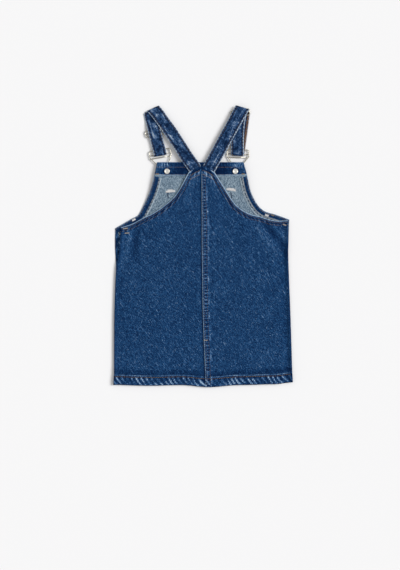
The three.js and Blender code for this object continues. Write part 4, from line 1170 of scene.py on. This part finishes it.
# %% The stitch
def model_stitch():
    """One stitch, 1 long, 1 wide and 1 high, along X."""
    deselect()
    bpy.ops.mesh.primitive_cylinder_add(vertices=6, radius=0.5, depth=1, end_fill_type="NGON",
                                        rotation=(0, math.radians(90), 0))
    bpy.ops.object.transform_apply(location=True, rotation=True, scale=True)
    obj = bpy.context.active_object
    bpy.ops.object.mode_set(mode="EDIT")
    for at in (-0.28, 0.28):
        bpy.ops.mesh.select_all(action="SELECT")
        bpy.ops.mesh.bisect(plane_co=(at, 0, 0), plane_no=(1, 0, 0))
    bpy.ops.object.mode_set(mode="OBJECT")
    for way in (-1, 1):
        for vertex in obj.data.vertices:
            vertex.select = vertex.co.x * way > 0.45
        bpy.ops.object.mode_set(mode="EDIT")
        bpy.ops.transform.resize(value=(1, 0.55, 0.55), center_override=(0, 0, 0))
        bpy.ops.transform.translate(value=(0, 0, -0.45))
        bpy.ops.object.mode_set(mode="OBJECT")
    bpy.ops.object.mode_set(mode="EDIT")
    bpy.ops.mesh.select_all(action="SELECT")
    bpy.ops.mesh.normals_make_consistent(inside=False)
    bpy.ops.object.mode_set(mode="OBJECT")
    points = np.array([v.co for v in obj.data.vertices])
    faces = [list(p.vertices) for p in obj.data.polygons]
    bpy.data.objects.remove(obj)
    return points, faces


STITCH_POINTS, STITCH_FACES = model_stitch()


def sewn(name, stitches, finish, thick=1.3, high=0.65):
    """A joined mesh of stitches, each given as its middle, its way ahead, the way up and its length."""
    points, faces = [], []
    for middle, ahead, up, length in stitches:
        ahead = ahead / np.linalg.norm(ahead)
        side = np.cross(up, ahead)
        side /= np.linalg.norm(side)
        up = np.cross(ahead, side)
        start = len(points) * len(STITCH_POINTS)
        local = STITCH_POINTS * (length, thick, high)
        points.append(middle + local @ np.array([ahead, side, up]))
        faces += [[i + start for i in f] for f in STITCH_FACES]
    return new_mesh(name, np.concatenate(points), faces, [finish])


def drop(obj, x, y, down=True):
    """The place and normal of a piece's upper side under a place in mm, or of its under side from below."""
    start = Vector((x * MM, y * MM, 0.1 if down else -0.1))
    hit, place, normal, _ = obj.ray_cast(start, Vector((0, 0, -1 if down else 1)))
    return (np.array(place) / MM, np.array(normal)) if hit else (None, None)


def row_of_stitches(piece, path, pitch=3.8, length=3.1, down=True, lift=0.16):
    """Stitches along a path of places on a piece."""
    path = np.asarray(path, float)
    reach = reach_of(path)
    stitches = []
    for at in np.arange(pitch / 2, reach[-1], pitch):
        ends = [value_at(at + d, reach, path) for d in (-length / 2, 0, length / 2)]
        hits = [drop(piece, *end, down) for end in ends]
        if any(place is None for place, _ in hits):
            continue
        middle = hits[1][0] + hits[1][1] * lift
        stitches.append((middle, hits[2][0] - hits[0][0], hits[1][1], length))
    return stitches


def bartack(piece, x1, y1, x2, y2, width, pitch=0.85, down=True):
    """A dense block of stitches across the line from 1 to 2."""
    path = np.array([(x1, y1), (x2, y2)], float)
    ahead = (path[1] - path[0]) / np.linalg.norm(path[1] - path[0])
    across = np.array([-ahead[1], ahead[0]])
    stitches = []
    for at in np.arange(0, np.linalg.norm(path[1] - path[0]) + 0.01, pitch):
        middle = path[0] + ahead * at
        place, normal = drop(piece, *middle, down)
        if place is not None:
            stitches.append((place + normal * 0.45, np.append(across + 0.12 * ahead, 0), normal, width))
    return stitches


print("faces in a stitch:", len(STITCH_FACES))


# %% [markdown]
# Seams of the dress
#
# The rows are where a machinist would sew them: two along each turned edge of the back, two down the
# felled seam, one round the hem, two across the bib's hem, one along both edges of each strap, and a
# dense pair on the strap's free end. Bartacks hold the ends of the openings. Paths are offset from the
# panels' own edges, so they keep even. Real thread is 0.5 mm thick. It is drawn about twice as thick,
# because one pixel of the picture is 2 mm and a thin row would not show as it does on real denim.

# %% Topstitching
def inset(edge, distance, way):
    """An edge moved sideways by a distance; way is 1 for the left of its direction."""
    edge = np.asarray(edge, float)
    ahead = np.gradient(edge, axis=0)
    ahead /= np.linalg.norm(ahead, axis=1, keepdims=True)
    return edge + way * distance * np.column_stack([-ahead[:, 1], ahead[:, 0]])


ARMHOLE_ROWS = (3.6, 8.8)
NECK_ROWS = (8.0, 16.4)
BIB_ROWS = ((165.3, 97.2), (150.0, 101.2))  # height, and the left end's distance from the middle
neck_x = np.linspace(-27, 22, 30)
neck_y = np.interp(neck_x, *zip(*NECK_EDGE))

back_stitches = []
for distance in ARMHOLE_ROWS:
    back_stitches += row_of_stitches(back_left, inset(armhole_left, distance, -1), length=2.5)
    back_stitches += row_of_stitches(back_right, inset(armhole_right, distance, 1), length=2.5)
for distance in NECK_ROWS:
    for piece, keep in ((back_left, neck_x < -3.4), (back_right, neck_x > -2.6)):
        path = np.column_stack([neck_x, neck_y - distance])[keep]
        back_stitches += row_of_stitches(piece, path, length=3.5, lift=0.5)
for share in (0.33, 0.95):
    path = right_rows[:, 0:2] + np.outer(share * fell_width(right_rows[:, 1]), (1, 0))
    path = path[(path[:, 1] > -293) & (path[:, 1] < 149)]
    back_stitches += row_of_stitches(back_right, path, pitch=4.2, length=2.9, lift=0.05)
hem_x = np.linspace(-186, 186, 200)
hem_path = np.column_stack([hem_x, hem_line(hem_x) + HEM_ROW])
back_stitches += row_of_stitches(back_left, hem_path[hem_x < 4], length=3.5, lift=0.3)
back_stitches += row_of_stitches(back_right, hem_path[hem_x > 6], length=3.5, lift=0.3)


def bartacks(table):
    """Several bartacks, each a row with its piece, x1, y1, x2, y2 and width."""
    return [stitch for row in table for stitch in bartack(*row)]


tacks_on_back = bartacks([
    (back_left, -168, 36.5, -158, 37.5, 3.0), (back_left, -164, 27, -155, 27.5, 2.6),
    (back_right, 168, 46, 175, 43, 2.8), (back_right, -0.5, -198, 9, -198, 2.2)])
tacks_on_bib = bartacks([
    (bib_hem, -99.5, 151, -92, 151, 3.0), (bib_hem, 81, 151, 88.5, 151, 3.0),
    (ply_right, 143, 66, 149, 63.5, 2.6), (ply_right, 166.5, 53.5, 173, 51, 2.6)])
topstitching_back = sewn("topstitching_back", back_stitches, brown_thread)
bartacks_back = sewn("bartacks_back", tacks_on_back, pale_thread)

bib_stitches = []
for y, keep_x in BIB_ROWS:
    for x1, x2 in ((-keep_x - 0.5, -6), (-4, keep_x - 12.6)):
        bib_stitches += row_of_stitches(bib_hem, np.column_stack([np.linspace(x1, x2, 40), np.full(40, y)]))
for piece, edge, normal in (left_armhole, right_armhole):
    bib_stitches += row_of_stitches(piece, edge + normal * 2.4)
topstitching_bib = sewn("topstitching_bib", bib_stitches + tacks_on_bib, brown_thread)
print("stitches:", len(back_stitches), "on the back and", len(bib_stitches), "on the bib")


# %% Strap stitching
def frame_at(at, lines):
    """A strap's middle, its way across and its way up, at a distance along it."""
    return [value_at(at, lines["along"], lines[key]) for key in ("middle", "across", "up")]


def strap_stitches(lines, pitch=3.3, length=2.5):
    """A row along both edges of a strap, on both of its faces."""
    along = lines["along"]
    stitches = []
    for at in np.arange(3, along[-1] - 2, pitch):
        i = min(max(int(np.searchsorted(along, at)), 1), len(along) - 2)
        middle, across, up = frame_at(at, lines)
        ahead = lines["middle"][i + 1] - lines["middle"][i - 1]
        for side in (-1, 1):
            for face in (-1, 1):
                place = middle + across * side * 10.6 + up * face * (STRAP / 2 - 0.02)
                stitches.append((place, ahead, up * face, length))
    return stitches


def free_end_stitches(lines, pitch=2.1, length=2.6):
    """The dense rows along the outer edge of the free end, which shows beside the strap's front leg."""
    along = lines["along"]
    start = along[np.argmax(lines["layer"] == 4)]
    stitches = []
    for at in np.arange(start + 6, along[-1] - 2, pitch):
        middle, across, up = frame_at(at, lines)
        face = up * np.sign(up[2])
        for inwards in (12.0, 9.2):
            stitches.append((middle - across * inwards + face * STRAP / 2, (0.12, 1, 0), face, length))
    return stitches


topstitching_straps = {
    side: sewn("topstitching_strap_" + side, strap_stitches(lines), brown_thread, thick=1.1, high=0.6)
    for side, lines in (("left", line_left), ("right", line_right))}
free_end_row = sewn("topstitching_free_end", free_end_stitches(line_right), tan_thread, 3.4, 0.9)
print("strap stitching:", [len(o.data.polygons) for o in topstitching_straps.values()], "faces")

# %% [markdown]
# Overlocked edges and the pocket's bartacks from behind
#
# A raw edge inside a garment is bound by an overlock machine: three threads that loop over the edge in a
# dense zigzag, 2.5 mm apart. Here one zigzag stands for them, and a dark stitch every 8 mm is painted
# shade for the gaps between their loops. On the wrong side of the bib the ends of the pocket's seams show
# as blocks of pale bobbin thread, with one short row of stitches hanging from each.

# %% Overlock and pale blocks
def overlock(piece, edge, normal, near, far=15.6, pitch=2.5):
    """A zigzag of threads over an inner raw edge, between two distances from the outer edge."""
    reach = reach_of(edge)
    stitches = []
    for i, at in enumerate(np.arange(2, reach[-1] - 1, pitch / 2)):
        base = value_at(at, reach, edge)
        way = value_at(at, reach, normal)
        ahead = np.array([-way[1], way[0]])
        ends = [base + way * near, base + way * far + ahead * (pitch / 2 if i % 2 else -pitch / 2)]
        place, up = drop(piece, *((ends[0] + ends[1]) / 2))
        if place is not None:
            stitches.append((place + up * 0.15, np.append(ends[1] - ends[0], 0), up, far - near))
    return stitches


overlock_left = sewn("overlock_armhole_left", overlock(*left_armhole, 10.4), pale_thread, 0.7, 0.4)
overlock_right = sewn("overlock_armhole_right", overlock(*right_armhole, 8.6), pale_thread, 0.7, 0.4)
pale_blocks = bartacks([
    (front, -78, 115, -59, 116.5, 6.6), (front, -74, 117, -63, 117.5, 7.4),
    (front, 50, 120.5, 69, 117.5, 6.6), (front, 54, 121, 65, 119.5, 7.4),
    (ply_left, -149, 54, -142.5, 57.5, 5), (ply_right, 131, 66, 138, 63, 5)])
bartacks_pale = sewn("bartacks_pocket", pale_blocks, bobbin_thread)
dark_stitches = []
# Painted shade: dark stitches every 8 mm on the plies stand for the shaded gaps between the overlock's loops.
for piece, edge, normal in (left_armhole, right_armhole):
    dark_stitches += row_of_stitches(piece, edge + normal * 12.0, pitch=8.0, length=3.8, lift=0.6)
for x in (-74.5, 59):
    dark_stitches += row_of_stitches(front, [(x, 112), (x + 1, 100)], pitch=2.4, length=2.9, lift=0.5)
pocket_rows_and_loop_shade = sewn("pocket_seam_and_overlock_shade", dark_stitches, indigo_thread_and_loop_shade, 3.0, 0.9)
print("overlock threads:", len(overlock_left.data.polygons), len(overlock_right.data.polygons), "faces")

# %% [markdown]
# Telling the frame what each piece is
# Putting each piece on the dress's body
# Each new piece rides on the dress's one body and stands for its CAD node, which then isn't shown.
# Nothing here is draped: it all lies flat as it was laid.

# %% Ride and replace
def stands_for(obj, slot, *nodes):
    """Puts a piece on the dress's body and hides the CAD nodes that it stands for. Its slot is not used."""
    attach(obj, "root")
    if nodes:
        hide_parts(*nodes)


stands_for(front, "denim_inside", "front_panel")
stands_for(bib_hem, "denim", "bib_top_hem")
stands_for(ply_left, "denim", "armhole_ply_left")
stands_for(ply_right, "denim", "armhole_ply_right")
stands_for(bib_pocket, "denim", "bib_pocket")
stands_for(back_left, "denim", "back_left")
stands_for(back_right, "denim", "back_right")
stands_for(strap_left, "denim", "strap_left")
stands_for(strap_right, "denim", "strap_right")
for side in SIDES:
    stands_for(sliders[side], "steel", "slider_" + side)
    stands_for(buckles[side], "steel", "buckle_" + side)
    stands_for(tacks[side], "steel", "tack_" + side)
    stands_for(buttons[side], "steel", "button_" + side)
    stands_for(topstitching_straps[side], "denim")
for obj in (topstitching_back, bartacks_back, topstitching_bib, free_end_row, overlock_left,
            overlock_right, bartacks_pale, pocket_rows_and_loop_shade):
    stands_for(obj, "denim")

# %% [markdown]
# Floor, light and camera
#
# A catalogue picture of this kind is taken from straight above a white table, with a broad soft light
# from the right. The floor is matt white. The sky is dim at the horizon and bright overhead, which gives
# the wires something to mirror, and one wide sun low on the right casts the soft shadow on the left.

# %% Floor
deselect()
bpy.ops.mesh.primitive_plane_add(size=6, location=(0, 0, -0.0003))
floor_finish, floor_shader = blank("matt_white_table")
floor_shader.inputs["Base Color"].default_value = linear("#EAEAEB")
floor_shader.inputs["Roughness"].default_value = 1.0
floor_shader.inputs["Specular IOR Level"].default_value = 0.0
floor = finished("floor", floor_finish)

# %% Light
world = bpy.data.worlds.new("white_room")
bpy.context.scene.world = world
world.use_nodes = True
world.node_tree.nodes.clear()
direction = node(world, "TexCoord", output="Generated")
height = node(world, "SeparateXYZ", {"Vector": direction}, output="Z")
glow = node(world, "MapRange", {"Value": height, "From Min": -0.1, "From Max": 1.0, "To Min": 0.29,
                                "To Max": 0.68}, interpolation_type="SMOOTHSTEP")
room = node(world, "Background", {"Color": (1, 1, 1, 1), "Strength": glow})
node(world, "OutputWorld", {"Surface": room}, output=None)

sun_data = bpy.data.lights.new("window", "SUN")
sun = bpy.data.objects.new("window", sun_data)
bpy.context.collection.objects.link(sun)
SUN_FROM = Vector((0.72, 0.16, 0.70)).normalized()
sun.rotation_euler = SUN_FROM.to_track_quat("Z", "Y").to_euler()
sun_data.energy = 2.55
sun_data.angle = math.radians(26)
sun_data.color = (1.0, 0.995, 0.985)
print("sun stands", round(math.degrees(math.asin(SUN_FROM.z))), "degrees high")

# %% Camera
PIXEL = 2.1  # mm on the dress to one pixel of a 400 x 570 picture
CAMERA_HEIGHT = 3.0
camera_data = bpy.data.cameras.new("overhead")
camera = bpy.data.objects.new("overhead", camera_data)
bpy.context.collection.objects.link(camera)
camera.location = (-6.5 * MM, -81.9 * MM, CAMERA_HEIGHT + 0.006)  # over the picture's middle
camera.rotation_euler = (0, 0, 0)
camera_data.sensor_fit = "AUTO"
camera_data.sensor_width = 36
camera_data.lens = 36 * CAMERA_HEIGHT / (570 * PIXEL * MM)
camera_data.clip_end = 50
bpy.context.scene.camera = camera
bpy.context.scene.view_settings.view_transform = "Standard"
print("lens:", round(camera_data.lens, 1), "mm")
